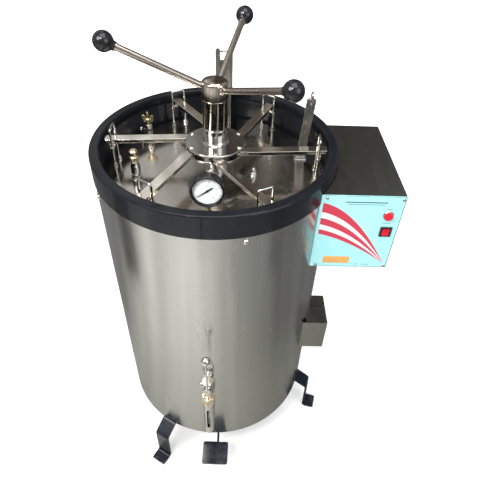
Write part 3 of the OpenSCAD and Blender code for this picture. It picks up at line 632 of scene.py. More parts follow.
def arc_yz(y, z, radius, start, end, steps):
    """Points of an arc in the plane x = 0, angles in degrees."""
    angles = [radians(start + (end - start) * k / steps) for k in range(steps + 1)]
    return [(0, y + radius * cos(a), z + radius * sin(a)) for a in angles]


def prism(outline, z0, z1, corner=0.5, steps=2):
    """Extrudes a convex or gently concave outline, top and bottom edges rounded."""
    count = len(outline)
    area = sum(outline[i][0] * outline[(i + 1) % count][1]
               - outline[(i + 1) % count][0] * outline[i][1] for i in range(count))
    points = [Vector(p) for p in (outline if area > 0 else reversed(outline))]

    def ring(inset, z):
        section = []
        for i, point in enumerate(points):
            first = (point - points[i - 1]).normalized()
            second = (points[(i + 1) % count] - point).normalized()
            a, b = Vector((-first.y, first.x)), Vector((-second.y, second.x))
            inward = (a + b) / max(0.25, 1 + a.dot(b))
            section.append((point.x + inward.x * inset, point.y + inward.y * inset, z))
        return section

    angles = [pi / 2 * k / steps for k in range(steps + 1)]
    return loft([ring(corner * (1 - sin(a)), z0 + corner * (1 - cos(a))) for a in angles]
                + [ring(corner * (1 - cos(a)), z1 - corner * (1 - sin(a))) for a in angles])


def block(low, high, corner):
    """Box between two corners with every edge rounded."""
    outline = rectangle(low[0], low[1], high[0], high[1], corner, 3)
    return prism(outline, low[2], high[2], corner, 3)


def paint(node, material):
    """A CAD node keeps its mesh and gets a material."""
    materials = NODES[node].data.materials
    materials.clear()
    materials.append(MAT[material])


def dress(node, material, bevel, segs=2):
    """Paints a CAD node, joins its faces and rounds its sharp edges by bevel mm."""
    paint(node, material)
    thing = NODES[node]
    modify(thing, "weld", "WELD", merge_threshold=2e-6)
    modify(thing, "flat", "DECIMATE", decimate_type="DISSOLVE", angle_limit=radians(0.7))
    modify(thing, "edge", "BEVEL", width=bevel * MM, segments=segs, limit_method="ANGLE",
           angle_limit=radians(32), harden_normals=False, use_clamp_overlap=True)
    modify(thing, "wn", "WEIGHTED_NORMAL", keep_sharp=False, weight=80)


# ------------------------------------------------------------------ jacket

# waves in the sheet: depth in mm, lobes round the jacket, phase, twist per mm of height
SHEET_WAVES = [
    (0.085, 3, 0.9, 0.004), (0.06, 7, -1.1, -0.009), (0.035, 13, 0.4, 0.017),
    (0.028, 19, 2.0, -0.012), (0.05, 2, 0.0, 0.021),
]
SEAM_TURN = radians(118)


def jacket_shell():
    levels = 84
    wall = 2.0
    hem = 2.0       # radius of the rolled lower edge
    inner = JACKET_R - wall
    roll = [(JACKET_R - hem + hem * cos(a), JACKET_LOW + hem + hem * sin(a))
            for a in (radians(-180 + 180 * k / 8) for k in range(9))]
    rim = [(JACKET_R, JACKET_TOP - 0.4), (JACKET_R - 0.4, JACKET_TOP),
           (inner + 0.3, JACKET_TOP), (inner, JACKET_TOP - 0.3)]
    lip = [(inner, JACKET_LOW + 8.5), (JACKET_R - 4.0, JACKET_LOW + 7.5)]
    heights = [JACKET_LOW + (JACKET_TOP - JACKET_LOW) * k / levels for k in range(levels + 1)]
    outside = [(JACKET_R, z) for z in heights if JACKET_LOW + 4 < z < JACKET_TOP - 1.5]
    inside = [(inner, z) for z in reversed(heights[::7])
              if JACKET_LOW + 8 < z < JACKET_TOP - 10]
    plain = roll + rim + lip

    def ripple(a, r, z):
        if (r, z) in plain:
            return r
        # waves die out toward both edges, and the sheet draws in by 0.12 mm between them
        fade = min(1.0, max(0.0, (z - JACKET_LOW - 4) / 60))
        fade *= min(1.0, max(0.0, (JACKET_TOP - 30 - z) / 50))
        wave = sum(d * sin(lobes * a + phase + z * twist)
                   for d, lobes, phase, twist in SHEET_WAVES)
        return r + fade * wave - 0.12 * fade

    shell = revolve(roll + outside + rim + inside + lip, segs=432, ripple=ripple)
    Shape().add(shell).make("jacket_shell", "jacket_steel", "cabinet", "jacket_steel",
                            "outer_jacket", weighted=False)


def jacket_seam():
    """Upright weld on the outside, toward the back."""
    r = JACKET_R - 1.1
    path = [(r * cos(SEAM_TURN), r * sin(SEAM_TURN),
             JACKET_LOW + 6 + (JACKET_TOP - 44 - JACKET_LOW) * k / 400) for k in range(401)]
    weld = sweep(path, 1.9, 10, swell=lambda i: 1.0 + 0.10 * abs(sin(i * 0.9)))
    Shape().add(weld).make("jacket_seam", "wire_steel", "cabinet", "jacket_steel",
                           weighted=False)


jacket_shell()
jacket_seam()

# ------------------------------------------------------------------ lid ring

RING_FOOT = LID_TOP - 14.0 - RING_TOP
# radius, height from the ring top, corner radius
RING_PROFILE = [
    (255.75, -2, 1.2), (257.75, 0, 1.6), (273.5, 0, 2.5), (275.8, -1, 1.2), (277, -3.5, 1.8),
    (277, -54.5, 0.8), (276.4, -56, 0.4), (275.4, -56, 0.3), (275.4, -28, 0.3),
    (272.5, -28, 0.3), (272.5, -34, 0.5), (262, -34, 0.5), (262, RING_FOOT, 0.5),
    (257, RING_FOOT, 0.5), (257, -25, 0.5), (265, -22, 0.8), (265, -8, 0.8), (255.75, -8, 0.8),
]
Shape().add(lathe(RING_PROFILE, segs=512, steps=5), ON_RING).make(
    "lid_ring", "ring_black", "cabinet", "ring_black", "locking_ring")

# ------------------------------------------------------------------ lid plate and its welds

# radius, height from the lid top, corner radius
LID_PROFILE = [
    (0, -LID_THICK), (120, -LID_THICK, 0), (246, -LID_THICK, 1.2), (250, -8.5, 1.6),
    (250, -2.6, 1.2), (247.4, 0, 1.2), (244, 0, 0), (200, 0, 0), (150, 0, 0), (100, 0, 0),
    (50, 0, 0), (0, 0),
]
# round welds: x, y, height above the lid, ring radius, stations, bead radius
ROUND_WELDS = [
    (*PLUG, 0.4, 8.6, 90, 1.3), (0, 0, 0.6, 26.8, 240, 1.8),
    (*SAFETY, 0.3, 11.6, 110, 1.1), (*VENT, 0.3, 11.6, 110, 1.1),
]


def bead(path, radius):
    """Closed hand-welded bead with its ripples."""
    return sweep(path, radius, 10, closed=True, swell=lambda i: 0.82 + 0.22 * abs(sin(i * 0.8)))


def lid():
    Shape().add(lathe(LID_PROFILE, segs=384, steps=4), ON_LID).make(
        "lid_disc", "lid_steel", "lid", "lid_steel", "lid_plate")
    place = move(*PLUG, LID_TOP)
    plug = Shape().add(rod(8, -1, 8, 0.8, 64), place)
    plug.add(hexagon(11, 7.9, 16), place @ rot_z(11))
    plug.add(rod(3.5, 15, 20, 0.9), place)
    plug.make("socket_plug", "bolt_plated", "lid", "fastener_steel")
    welds = Shape()
    for x, y, z, ring, count, radius in ROUND_WELDS:
        angles = [2 * pi * k / count for k in range(count)]
        path = [(x + ring * cos(a), y + ring * sin(a), z) for a in angles]
        welds.add(bead(path, radius), ON_LID)
    x, y = LUG
    outline = subdivide(rectangle(x - 14, y - 9, x + 14, y + 9, 2.5, 8), 0.7, closed=True)
    welds.add(bead([(p.x, p.y, 0.5) for p in outline], 1.6), ON_LID)
    welds.make("lid_welds", "wire_steel", "lid", "lid_steel", weighted=False)


def spindle():
    sleeve_top = RING_RISE - 25.6
    post = Shape().add(rod(14, -28, RING_RISE + 98, 1.2, 96), ON_LID)
    post.add(lathe([(0, 0.05), (26, 0.05, 0.4), (26, 8, 1.4), (21, 8, 1.0),
                    (21, sleeve_top, 0.8), (0, sleeve_top)], segs=128), ON_LID)
    post.add(hexagon(40, -24, -12), ON_LID)
    post.make("spindle_post", "disc_chrome", "lid", "lock_chrome", "spindle_bolt")


lid()
spindle()

# ------------------------------------------------------------------ lock wheel

# radius, height from the ring top, corner radius
HEAD_PROFILE = [
    (0, 33.05), (26.0, 33.05, 0.4), (27.5, 35, 0.9), (27.5, 97.4, 0.5), (26.9, 98.3, 0.3),
    (28.2, 99.4, 0.6), (28.2, 131.5, 3), (26.6, 135.2, 3), (23, 137.6, 4), (17, 139.2, 4),
    (9, 140.1, 4), (0, 140.4),
]
LOCK_DISC_PROFILE = [
    (14.1, -25.5, 0.5), (66.5, -25.5, 0.6), (68, -24, 0.6), (68, -20.1, 0.8), (46, -20.1, 0.5),
    (46, -8.1, 0.5), (68, -8.1, 0.8), (68, -4.8, 0.8), (66.6, -3.6, 0.9), (31, -3.2, 1.5),
    (28, -1, 2), (25.5, 3, 2), (25.5, 29, 0.9), (24, 31, 0.7), (24, 33, 0.4), (14.1, 33, 0.4),
]
PIN_PROFILE = [
    (0, -25.4), (3.98, -25.4, 0.3), (3.98, -3.4, 0.1), (5.4, -3.2, 0.2), (5.4, -1.6, 0.5),
    (3.9, -0.75, 0.8), (0, -0.5),
]
# along a spoke from the wheel axis: weld at its root
SPOKE_WELD = [(6.6, 26.5, 0), (9.4, 27.0, 1.2), (7.9, 29.3, 1.0), (6.95, 31.4, 0.2),
              (6.6, 31.4, 0)]
SPOKES = [(186, 26), (74, 22.5), (311, 20)]     # turn and rise, degrees
SPOKE_HUB = 113         # height of the spoke axes above the ring top
BALL_AT = 234.0         # ball centre along the spoke
BALL_R = 20.0


def spokes():
    bars, knobs, ferrules = Shape(), Shape(), Shape()
    # radius and distance back from the ball centre: bore and mouth of the ball
    mouth = [(0, 6), (6.95, 6), (6.95, 22.4), (7.6, 22.9), (8.9, 22.4), (9.5, 21.2), (9.5, 18.9)]
    angles = [radians(156 - 156 * j / 40) for j in range(3, 41)]
    profile = [(r, BALL_AT - back) for r, back in mouth]
    profile += [(BALL_R * sin(a), BALL_AT + BALL_R * cos(a)) for a in angles]
    for turn, rise in SPOKES:
        place = move(0, 0, RING_TOP + SPOKE_HUB) @ rot_z(turn) @ rot_y(-rise) @ rot_y(90)
        bars.add(rod(6.9, 17.2, BALL_AT - 8, 0.8, 64), place)
        bars.add(lathe(SPOKE_WELD, segs=64), place)
        knobs.add(revolve(profile), place)
        ferrules.add(tube(6.95, 8.3, BALL_AT - 26.4, BALL_AT - 22.6, 0.4, 64), place)
    bars.make("wheel_spokes", "spoke_nickel", "lock_wheel", "lock_chrome", "spokes")
    knobs.make("wheel_knobs", "knob_phenolic", "lock_wheel", "knob_black", "ball_knobs",
               weighted=False)
    ferrules.make("knob_ferrules", "spoke_nickel", "lock_wheel", "lock_chrome")


def lock_wheel():
    Shape().add(lathe(HEAD_PROFILE, segs=192, steps=5), ON_RING).make(
        "wheel_head", "wheel_nickel", "lock_wheel", "lock_chrome", "handle_head")
    spokes()
    Shape().add(lathe(LOCK_DISC_PROFILE, segs=256, steps=4), ON_RING).make(
        "lock_disc", "disc_chrome", "lock_wheel", "lock_chrome", "arm_disc")
    pins = Shape()
    for turn in ARM_TURNS:
        place = rot_z(turn - 24) @ move(61, 0, RING_TOP)
        pins.add(lathe(PIN_PROFILE, segs=64), place)
        pins.add(washer(4.0, 6.6, -3.55, -3.1, 64), place)
    pins.make("disc_pins", "bolt_plated", "lock_wheel", "lock_chrome", "arm_pins")


lock_wheel()

# ------------------------------------------------------------------ arms and their staples

for number in range(1, 7):
    dress("arm_%d" % number, "arm_nickel", 0.9, 3)

STAPLE_R = 233.0        # staples from the vessel axis
LEG_HALF = 16.5         # staple leg from its middle
BEND_R = 5
PITCH = 0.9             # thread on the staple legs
THREAD_STEPS = 14       # stations per turn of thread


def staples():
    rods, rests, nuts = Shape(), Shape(), Shape()
    # heights above the lid
    foot, shoulder, arm = 0.05, RING_RISE + 12, ARM_LOW - LID_TOP
    climb = [(shoulder - foot) * k / 12 for k in range(1, 13)]
    flat = LEG_HALF - BEND_R
    path = [(0, -LEG_HALF, foot), (0, -LEG_HALF, foot + 1)]
    path += [(0, -LEG_HALF, foot + rise) for rise in climb]
    path += arc_yz(-flat, shoulder, BEND_R, 180, 90, 8)[1:]
    path += [(0, -flat + 2 * flat * k / 4, shoulder + BEND_R) for k in range(1, 5)]
    path += arc_yz(flat, shoulder, BEND_R, 90, 0, 8)[1:]
    path += [(0, LEG_HALF, shoulder - rise) for rise in climb]
    # thread between the nuts
    thread_low, thread_top = LID_TOP + 7.7, ARM_LOW - 13.2
    turns = (thread_top - thread_low) / PITCH
    helix = []
    for k in range(int(turns * THREAD_STEPS)):
        a = k / THREAD_STEPS * 2 * pi
        helix.append((2.42 * cos(a), 2.42 * sin(a), 7.7 + PITCH * k / THREAD_STEPS))
    for turn in ARM_TURNS:
        place = rot_z(turn) @ move(STAPLE_R, 0, LID_TOP)
        rods.add(sweep(path, 2.5, 28), place)
        rests.add(block((-6, -16.2, arm - 5.5), (6, 16.2, arm - 1), 0.7), place)
        for side in (-1, 1):
            leg = place @ move(0, side * LEG_HALF, 0)
            nuts.add(hexagon(10, 2.1, 7.6, 5.05), leg @ rot_z(17 * side))
            nuts.add(washer(2.6, 7, 0.05, 1.3), leg)
            nuts.add(lathe([(2.55, 1.3), (4.6, 1.3), (4.9, 2.1), (2.55, 2.1)], 0.2, 48), leg)
            nuts.add(hexagon(10, arm - 13, arm - 8, 5.05), leg @ rot_z(-9 * side))
            nuts.add(washer(2.6, 5.6, arm - 7.9, arm - 6.9), leg)
            nuts.add(sweep(helix, 0.32, 6), leg)
    # two bolts at the back of the lid
    for side in (-1, 1):
        place = move(COLUMN_X + side * 11, 188, LID_TOP)
        nuts.add(rod(3.95, -8.5, 10, 0.3), place)
        nuts.add(washer(4.1, 8, 8.1, 9.3), place)
        nuts.add(hexagon(13, 9.3, 14.0), place @ rot_z(12 * side))
    rods.make("staple_rods", "rod_bright", "lid", "lock_chrome", "arm_guides", weighted=False)
    rests.make("staple_rests", "arm_nickel", "lid", "lock_chrome")
    nuts.make("staple_nuts", "bolt_plated", "lid", "fastener_steel", "lid_fasteners")


staples()

# ------------------------------------------------------------------ gauge

# dial frame: x right, y behind the mouth of the case, z up, tilted back
DIAL = move(GAUGE[0], GAUGE[1] - 14, RING_TOP - 13) @ rot_x(-6)
DIAL_LATHE = DIAL @ rot_x(-90)      # turned parts: z runs into the case
SCALE_START, SCALE_SPAN = -145.0, -270.0    # degrees
PRINT_BACK, PRINT_FRONT = 8.02, 7.90
SCALE_R = 27.6
# radius, depth from the mouth, corner radius
CASE_PROFILE = [
    (31.5, -1.0, 0.5), (33.6, -1.0, 0.5), (34.5, 0.2, 0.8), (34.5, 7.4, 0.7), (33.0, 8.6, 0.5),
    (33.0, 24.5, 1.8), (30.5, 27, 1.8), (0, 27), (0, 24), (30, 24, 0.4), (30, 5.2, 0.2),
    (31.5, 5.0, 0.2),
]


def gauge_case():
    Shape().add(lathe(CASE_PROFILE, segs=160, steps=4), DIAL_LATHE).add(
        rod(7, -34.2, -30, 0.3), DIAL @ move(0, 13, 0)).make(
        "gauge_body", "case_black", "lid", "switch_black", "gauge_case")
    # ring that holds the glass
    snap = lathe([(29.9, 0.1), (31.4, -0.1), (31.4, 1.1), (29.9, 1.1)], 0.3, 128)
    Shape().add(snap, DIAL_LATHE).make("gauge_snap_ring", "case_black", "lid", "switch_black")
    Shape().add(rod(29.8, 8, 9.2, 0.15, 128), DIAL_LATHE).make(
        "gauge_face", "dial_white", "lid", "dial_white", "gauge_dial")


def gauge_scale():
    marks = Shape()
    for k in range(41):
        # inner radius and width of the long, middle and short marks
        start, width = (22.2, 0.75) if k % 10 == 0 else (23.6, 0.5) if k % 5 == 0 else (25.2, 0.28)
        outline = rectangle(start, -width / 2, SCALE_R, width / 2, 0, 1)
        tick = loft([[(x, y, z) for x, z in outline] for y in (PRINT_BACK, PRINT_FRONT)])
        marks.add(tick, DIAL @ rot_y(-(SCALE_START + SCALE_SPAN * k / 40)))
    sections = []
    for k in range(121):
        a = radians(SCALE_START + SCALE_SPAN * k / 120)
        outer = SCALE_R + 0.4
        corners = ((SCALE_R, PRINT_BACK), (outer, PRINT_BACK), (outer, PRINT_FRONT),
                   (SCALE_R, PRINT_FRONT))
        sections.append([(r * cos(a), y, r * sin(a)) for r, y in corners])
    marks.add(loft(sections), DIAL)
    marks.make("gauge_scale", "ink_and_edge_shade_black", "lid", "needle_black", weighted=False)


def gauge_figures():
    """Figures 0 to 4 along the scale."""
    figures = Shape()
    for k in range(5):
        text = bpy.data.curves.new("fig", "FONT")
        text.body = str(k)
        text.size = 5.4 * MM
        text.extrude = 0.05 * MM
        text.align_x = "CENTER"
        text.align_y = "CENTER"
        text.resolution_u = 3
        thing = bpy.data.objects.new("fig", text)
        SCENE.collection.objects.link(thing)
        graph = bpy.context.evaluated_depsgraph_get()
        mesh = bpy.data.meshes.new_from_object(thing.evaluated_get(graph))
        part = ([v.co / MM for v in mesh.vertices], [tuple(p.vertices) for p in mesh.polygons])
        a = radians(SCALE_START + SCALE_SPAN * k / 4)
        figures.add(part, DIAL @ move(18.6 * cos(a), 7.95, 18.6 * sin(a)) @ rot_x(90))
        bpy.data.objects.remove(thing)
        bpy.data.meshes.remove(mesh)
    figures.make("gauge_figures", "ink_and_edge_shade_black", "lid", "needle_black", weighted=False)


def gauge():
    gauge_case()
    gauge_scale()
    gauge_figures()
    # two plain bars on the dial above its centre: half width, height
    bars = Shape()
    for half, z in ((5.5, 9.6), (3.6, 12.0)):
        bars.add(block((-half, z - 0.45, -8.02), (half, z + 0.45, -7.92), 0.04),
                 DIAL @ rot_x(90))
    bars.make("gauge_bars", "ink_blue", "lid", "dial_white", weighted=False)
    # domed glass
    glass_r = 31.3
    radii = [glass_r * k / 12 for k in range(13)]
    dome = [(r, 1.35 + 0.9 * (r / glass_r) ** 2) for r in radii]
    Shape().add(revolve(dome + [(glass_r, 3.2), (0, 3.2)]), DIAL_LATHE).make(
        "gauge_window", "clear_glass", "lid", "clear_glass", "gauge_glass", weighted=False)
    outline = fillet([(-13, -1.5), (-9, -1.6), (0, -1.9), (25, -0.35), (25, 0.35), (0, 1.9),
                      (-9, 1.6), (-13, 1.5)], 0.3, 3)
    pointer = Shape().add(prism(outline, -0.4, 0.4, 0.12),
                          DIAL @ move(0, 6.5, 0) @ rot_x(90) @ rot_z(SCALE_START))
    pointer.add(lathe([(0, 5.2), (3.0, 5.2, 0.7), (3.0, 7.3, 0.3), (1.5, 7.6, 0.2),
                       (1.5, 14, 0.2), (0, 14)], segs=48), DIAL_LATHE)
    pointer.make("gauge_pointer", "needle_black", "needle", "needle_black", "gauge_needle")
    place = move(*GAUGE, LID_TOP)
    pipe = Shape().add(rod(6, -11, 1, 0.3), place)
    pipe.add(hexagon(15, 0.05, 9), place @ rot_z(8))
    pipe.add(lathe([(0, 8.5), (6.5, 8.5, 0.3), (5.6, 10, 0.4), (6.5, 11.5, 0.4),
                    (6.5, 14.5, 0.4), (0, 14.5)], segs=64), place)
    pipe.add(hexagon(14, 14, 25), place @ rot_z(21))
    pipe.make("gauge_pipe", "fitting_brass", "lid", "fitting_brass", "gauge_stem")


gauge()

# ------------------------------------------------------------------ valves

# radius, height above the lid, corner radius
SAFETY_PROFILE = [
    (4.1, 9.5, 0), (8, 9.5, 0.3), (7.4, 11.2, 0.5), (8, 13, 0.8), (10.5, 16, 1.2),
    (10.5, 20, 0.5), (9.9, 21, 0.4), (10.5, 22, 0.5), (10.5, 33, 1.4), (8.5, 37, 1.0),
    (8.5, 44, 0.8), (4.1, 44, 0.3),
]
SAFETY_CAP_PROFILE = [
    (0, 54.5), (10.3, 54.8, 0.2), (10.3, 56.4, 0.8), (8, 59, 0.9), (8, 64, 0.9), (9.5, 66, 0.8),
    (9.5, 70, 1.2), (6.2, 72.8, 1.4), (0, 73),
]
VENT_PROFILE = [
    (3.6, 9.5, 0.2), (8, 9.5, 0.4), (7.2, 11.5, 0.8), (8, 13.5, 0.8), (8.6, 17, 1.0),
    (8.6, 27, 1.2), (7.6, 31.5, 0.6), (3.6, 31.5, 0.3),
]
VENT_STEM_PROFILE = [
    (0, 26), (3.5, 26, 0.2), (3.5, 46.5, 0.3), (6, 47.3, 0.8), (6, 55.5, 1.2), (2.5, 57, 0.7),
    (2.5, 73, 0.8), (0, 74),
]
# radius and distance from the vent axis
SPOUT_PROFILE = [
    (2.5, 5), (5.5, 5), (5.5, 19, 0.5), (4.9, 20, 0.3), (4.2, 20.5), (3.6, 21.8), (4.2, 22.6),
    (3.6, 24), (4.1, 24.8), (3.4, 27, 0.3), (2.5, 27),
]


def ribbed(a, r, count, depth):
    """Radius with grooves cut in, depth being a share of the radius."""
    return r * (1.0 - depth * (0.5 + 0.5 * cos(count * a)))


def safety_valve():
    place = move(*SAFETY, LID_TOP)
    body = Shape().add(hexagon(19, 0.05, 10), place @ rot_z(14))
    body.add(rod(8, -11, 1, 0.3), place)
    body.add(lathe(SAFETY_PROFILE), place)
    body.make("safety_body", "fitting_chrome", "lid", "fitting_chrome", "safety_valve")
    weight = Shape().add(rod(3.95, 26, 48, 0.3), place)
    weight.add(lathe([(0, 46), (9, 46, 0.5), (10.5, 48, 0.8), (10.5, 49.5, 0.3), (0, 49.5)]),
               place)
    weight.add(lathe([(0, 49.3), (10.6, 49.3, 0.2), (10.6, 55, 0.4), (0, 55)], segs=144, steps=2,
                     ripple=lambda a, r, z: ribbed(a, r, 36, 0.045)), place)
    weight.add(lathe(SAFETY_CAP_PROFILE), place)
    weight.make("safety_weight", "fitting_brass", "relief_cap", "fitting_brass", "safety_cap")


def vent_valve():
    place = move(*VENT, LID_TOP)
    body = Shape().add(hexagon(19, 0.05, 10), place @ rot_z(-6))
    body.add(rod(8, -11, 1, 0.3), place)
    body.add(lathe(VENT_PROFILE), place)
    body.add(hexagon(15, 31, 40, 7.2), place @ rot_z(20))
    body.add(lathe(SPOUT_PROFILE, 0.2, 64), place @ move(0, 0, 22) @ rot_z(150) @ rot_y(90))
    body.make("vent_body", "fitting_chrome", "lid", "fitting_chrome", "vent_valve")
    knob = Shape().add(lathe(VENT_STEM_PROFILE, segs=64), place)
    wing = fillet([(-4.5, -6), (4.5, -6), (4.5, 8), (1.5, 12), (-1.5, 12), (-4.5, 8)], 1.6, 4)
    for side in (-1, 1):
        knob.add(prism(wing, -1.6, 1.6, 0.7, 3),
                 place @ move(side * 8, 0, 54) @ rot_y(side * 16) @ rot_x(90))
    knob.make("vent_wing_knob", "fitting_brass", "vent_wing", "fitting_brass", "vent_knob")


safety_valve()
vent_valve()

# ------------------------------------------------------------------ lug and column

dress("lid_lug", "bar_steel", 0.7, 3)
dress("lift_column", "bar_steel", 0.8, 3)


def lug_wire():
    """Closed loop with a square foot and a round top."""
    half, straight = 7, 15
    path = [(0, -half, straight - straight * k / 6) for k in range(6)]
    path += [(0, -half + 2 * half * k / 8, 0) for k in range(9)]
    path += [(0, half, straight * k / 6) for k in range(1, 6)]
    path += arc_yz(0, straight, half, 0, 180, 14)[:-1]
    Shape().add(sweep(path, 3, 20, closed=True),
                move(*LUG, LID_TOP + 5) @ rot_y(4) @ move(0, 0, 140)).make(
        "lug_wire", "rod_bright", "lid", "fastener_steel", "lug_loop", weighted=False)


lug_wire()

# ------------------------------------------------------------------ screws and bolts


def dome_screw(r, h):
    """Domed head of radius r and height h with a dimple."""
    return lathe([(0, 0), (r, 0, 0.15), (r, h * 0.32, 0.5), (r * 0.86, h * 0.72, 1.2),
                  (r * 0.55, h * 0.95, 1.0), (r * 0.26, h, 0.15), (r * 0.20, h * 0.62, 0.1),
                  (0, h * 0.60)], segs=64)


def cover_screws():
    screws = Shape()
    for turn in (-151, -75, 60, 135):
        place = rot_z(turn) @ move(JACKET_R + 0.7, 0, RING_TOP - 68) @ rot_y(90)
        screws.add(dome_screw(6.5, 4.6), place)
        screws.add(washer(6.5 * 0.4, 7.4, -0.05, 0.9), place)
    for x in (PANEL_X0 + 7, PANEL_X1 - 7):
        for z in (PANEL_Z0 + 7, PANEL_Z1 - 7):
            screws.add(dome_screw(3.6, 2.4), move(x, PANEL_Y, z) @ rot_x(90))
    for z in (TERMINAL_Z0 + 12, TERMINAL_Z1 - 12):
        screws.add(dome_screw(3.6, 2.2), move(TERMINAL_X1, -85, z) @ rot_y(90))
    for side in (-1, 1):
        for z in (RING_TOP - 620, RING_TOP - 190):
            place = move(COLUMN_X + side * 30, 297, z) @ rot_x(-90)
            screws.add(rod(3.1, -20, 0.1, 0.2), place)
            screws.add(dome_screw(5.5, 4.0), place)
    screws.make("cover_screw_heads", "bolt_plated", "cabinet", "fastener_steel", "cover_screws")


def leg_bolts():
    bolts = Shape()
    for turn in LEG_TURNS.values():
        for y in (-13, 13):
            place = rot_z(turn) @ move(240, y, JACKET_LOW)
            bolts.add(rod(4, -14, 4, 0.5), place)
            bolts.add(hexagon(13, 3.05, 8.5), place @ rot_z(9))
            bolts.add(hexagon(13, -12.6, -6.1, 8.0), place @ rot_z(20))
    # pedal bracket
    for y in (-18, 18):
        place = move(COLUMN_X, -100 + y, JACKET_LOW)
        bolts.add(rod(3, -12, 4, 0.4, 40), place)
        bolts.add(hexagon(10, 3.05, 7), place)
        bolts.add(hexagon(10, -10.2, -5.1, 6.0), place)
    bolts.make("leg_bolt_set", "bolt_plated", "cabinet", "fastener_steel", "leg_bolts")


cover_screws()
leg_bolts()

# ------------------------------------------------------------------ legs, pedal

LEG_WIDTH, LEG_THICK = 46, 6


def bent_bar(path, radii, thick, width):
    """Flat bar bent along an XZ path, long edges rounded and both ends drawn in a little."""
    edge = 0.9
    points = subdivide(fillet(path, radii, 7, closed=False), 9)
    profile = rectangle(-width / 2, -thick / 2, width / 2, thick / 2, edge, 3)
    last = len(points) - 1
    sections = []
    for i, point in enumerate(points):
        along = (points[min(last, i + 1)] - points[max(0, i - 1)]).normalized()
        at_end = i in (0, last)
        narrow = 1.0 - edge / (width / 2) if at_end else 1.0
        thin = 0.7 if at_end else 1.0
        sections.append([(point.x - along.y * h * thin, y * narrow, point.y + along.x * h * thin)
                         for y, h in profile])
    return loft(sections)


def legs():
    top = JACKET_LOW - 3.05
    bar = bent_bar([(212, top), (273, top), (314.5, top - 28), (314.5, 3), (351, 3)],
                   [0, 14, 14, 11, 0], LEG_THICK, LEG_WIDTH)
    for side, turn in LEG_TURNS.items():
        Shape().add(bar, rot_z(turn)).make("leg_%s_bar" % side, "leg_black", "cabinet",
                                           "leg_black", "leg_" + side, sharp=50)


legs()
dress("pedal_lever", "leg_black", 0.8, 3)
dress("pedal_bracket", "leg_black", 0.6)
dress("pivot_pin", "bolt_plated", 0.5)
dress("column_guides", "strap_steel", 0.6)
paint("base_plate", "vessel_steel")

# ------------------------------------------------------------------ control box

dress("control_box", "box_steel", 0.9, 3)
dress("control_panel", "panel_paint", 0.5)
dress("terminal_box", "tbox_steel", 0.9, 3)
dress("contactor", "black_moulding", 0.6)


def jacket_x(y):
    return sqrt(JACKET_R * JACKET_R - y ** 2)


def edge_strips():
    """Strips that close the gap between the jacket and the two boxes."""
    Shape().add(block((jacket_x(PANEL_Y + 1) + 0.15, PANEL_Y + 0.15, PANEL_Z0 + 0.3),
                      (PANEL_X0 + 1.2, PANEL_Y + 1.85, PANEL_Z1 - 0.3), 0.3)).make(
        "panel_edge_strip", "panel_paint", "cabinet", "panel_paint")
    # a box that starts well inside the jacket is taken to start at 250 mm
    end = TERMINAL_X0 if TERMINAL_X0 >= 249 else 250.0
    Shape().add(block((jacket_x(TERMINAL_Y + 1) + 0.15, TERMINAL_Y + 0.2, TERMINAL_Z0 + 0.4),
                      (end + 1.5, TERMINAL_Y + 1.6, TERMINAL_Z1 - 0.4), 0.3)).make(
        "terminal_edge_strip", "tbox_steel", "cabinet", "box_steel")


edge_strips()

# Curves across the panel that end together low on the right:
# height at the left edge above the panel foot, and rise of the bow
CURVES = [(101, 11), (114, 14.5), (128, 17.5), (146, 22), (162, 25.5), (186, 31)]
# printed between each curve and the next: name, material, lift off the panel
BANDS = [
    ("panel_band_low", "print_crimson", 0), ("panel_gap_low", "print_white", 0.01),
    ("panel_band_mid", "print_crimson", 0), ("panel_gap_high", "print_white", 0.01),
    ("panel_band_high", "print_crimson", 0),
]
# x0, x1, foot, height
RULES = [
    (PANEL_X0 + 46, PANEL_X0 + 136, PANEL_Z1 - 17.5, 2.2),
    (PANEL_X0 + 52, PANEL_X0 + 130, PANEL_Z1 - 22.5, 1.0),
    (PANEL_X1 - 36, PANEL_X1 - 24, PANEL_Z1 - 34, 0.9),
    (PANEL_X1 - 38, PANEL_X1 - 20, PANEL_Z1 - 72, 0.9),
    (PANEL_X0 + 96, PANEL_X0 + 108, PANEL_Z0 + 9, 0.9),
    (PANEL_X0 + 112, PANEL_X0 + 130, PANEL_Z0 + 9, 0.9),
]
# x0, z0, x1, z1 of the black lines at the foot, top and right edge, painted shade standing for the
# dark edge of the box
EDGE_SHADE_LINES = [
    (PANEL_X0 + 0.7, PANEL_Z0 + 0.6, PANEL_X1 - 0.6, PANEL_Z0 + 1.7),
    (PANEL_X0 + 0.7, PANEL_Z1 - 1.3, PANEL_X1 - 0.6, PANEL_Z1 - 0.6),
    (PANEL_X1 - 1.9, PANEL_Z0 + 1.8, PANEL_X1 - 0.6, PANEL_Z1 - 1.4),
]


def curve_point(curve, t):
    height, bow = curve
    x0, x1 = PANEL_X0 + 0.6, PANEL_X1 - 9.0
    start, end = PANEL_Z0 + height, PANEL_Z0 + 14.0
    z = start + (end - start) * t + bow * 4 * t * (1 - t) * (1.12 - 0.25 * t)
    return x0 + (x1 - x0) * t, z


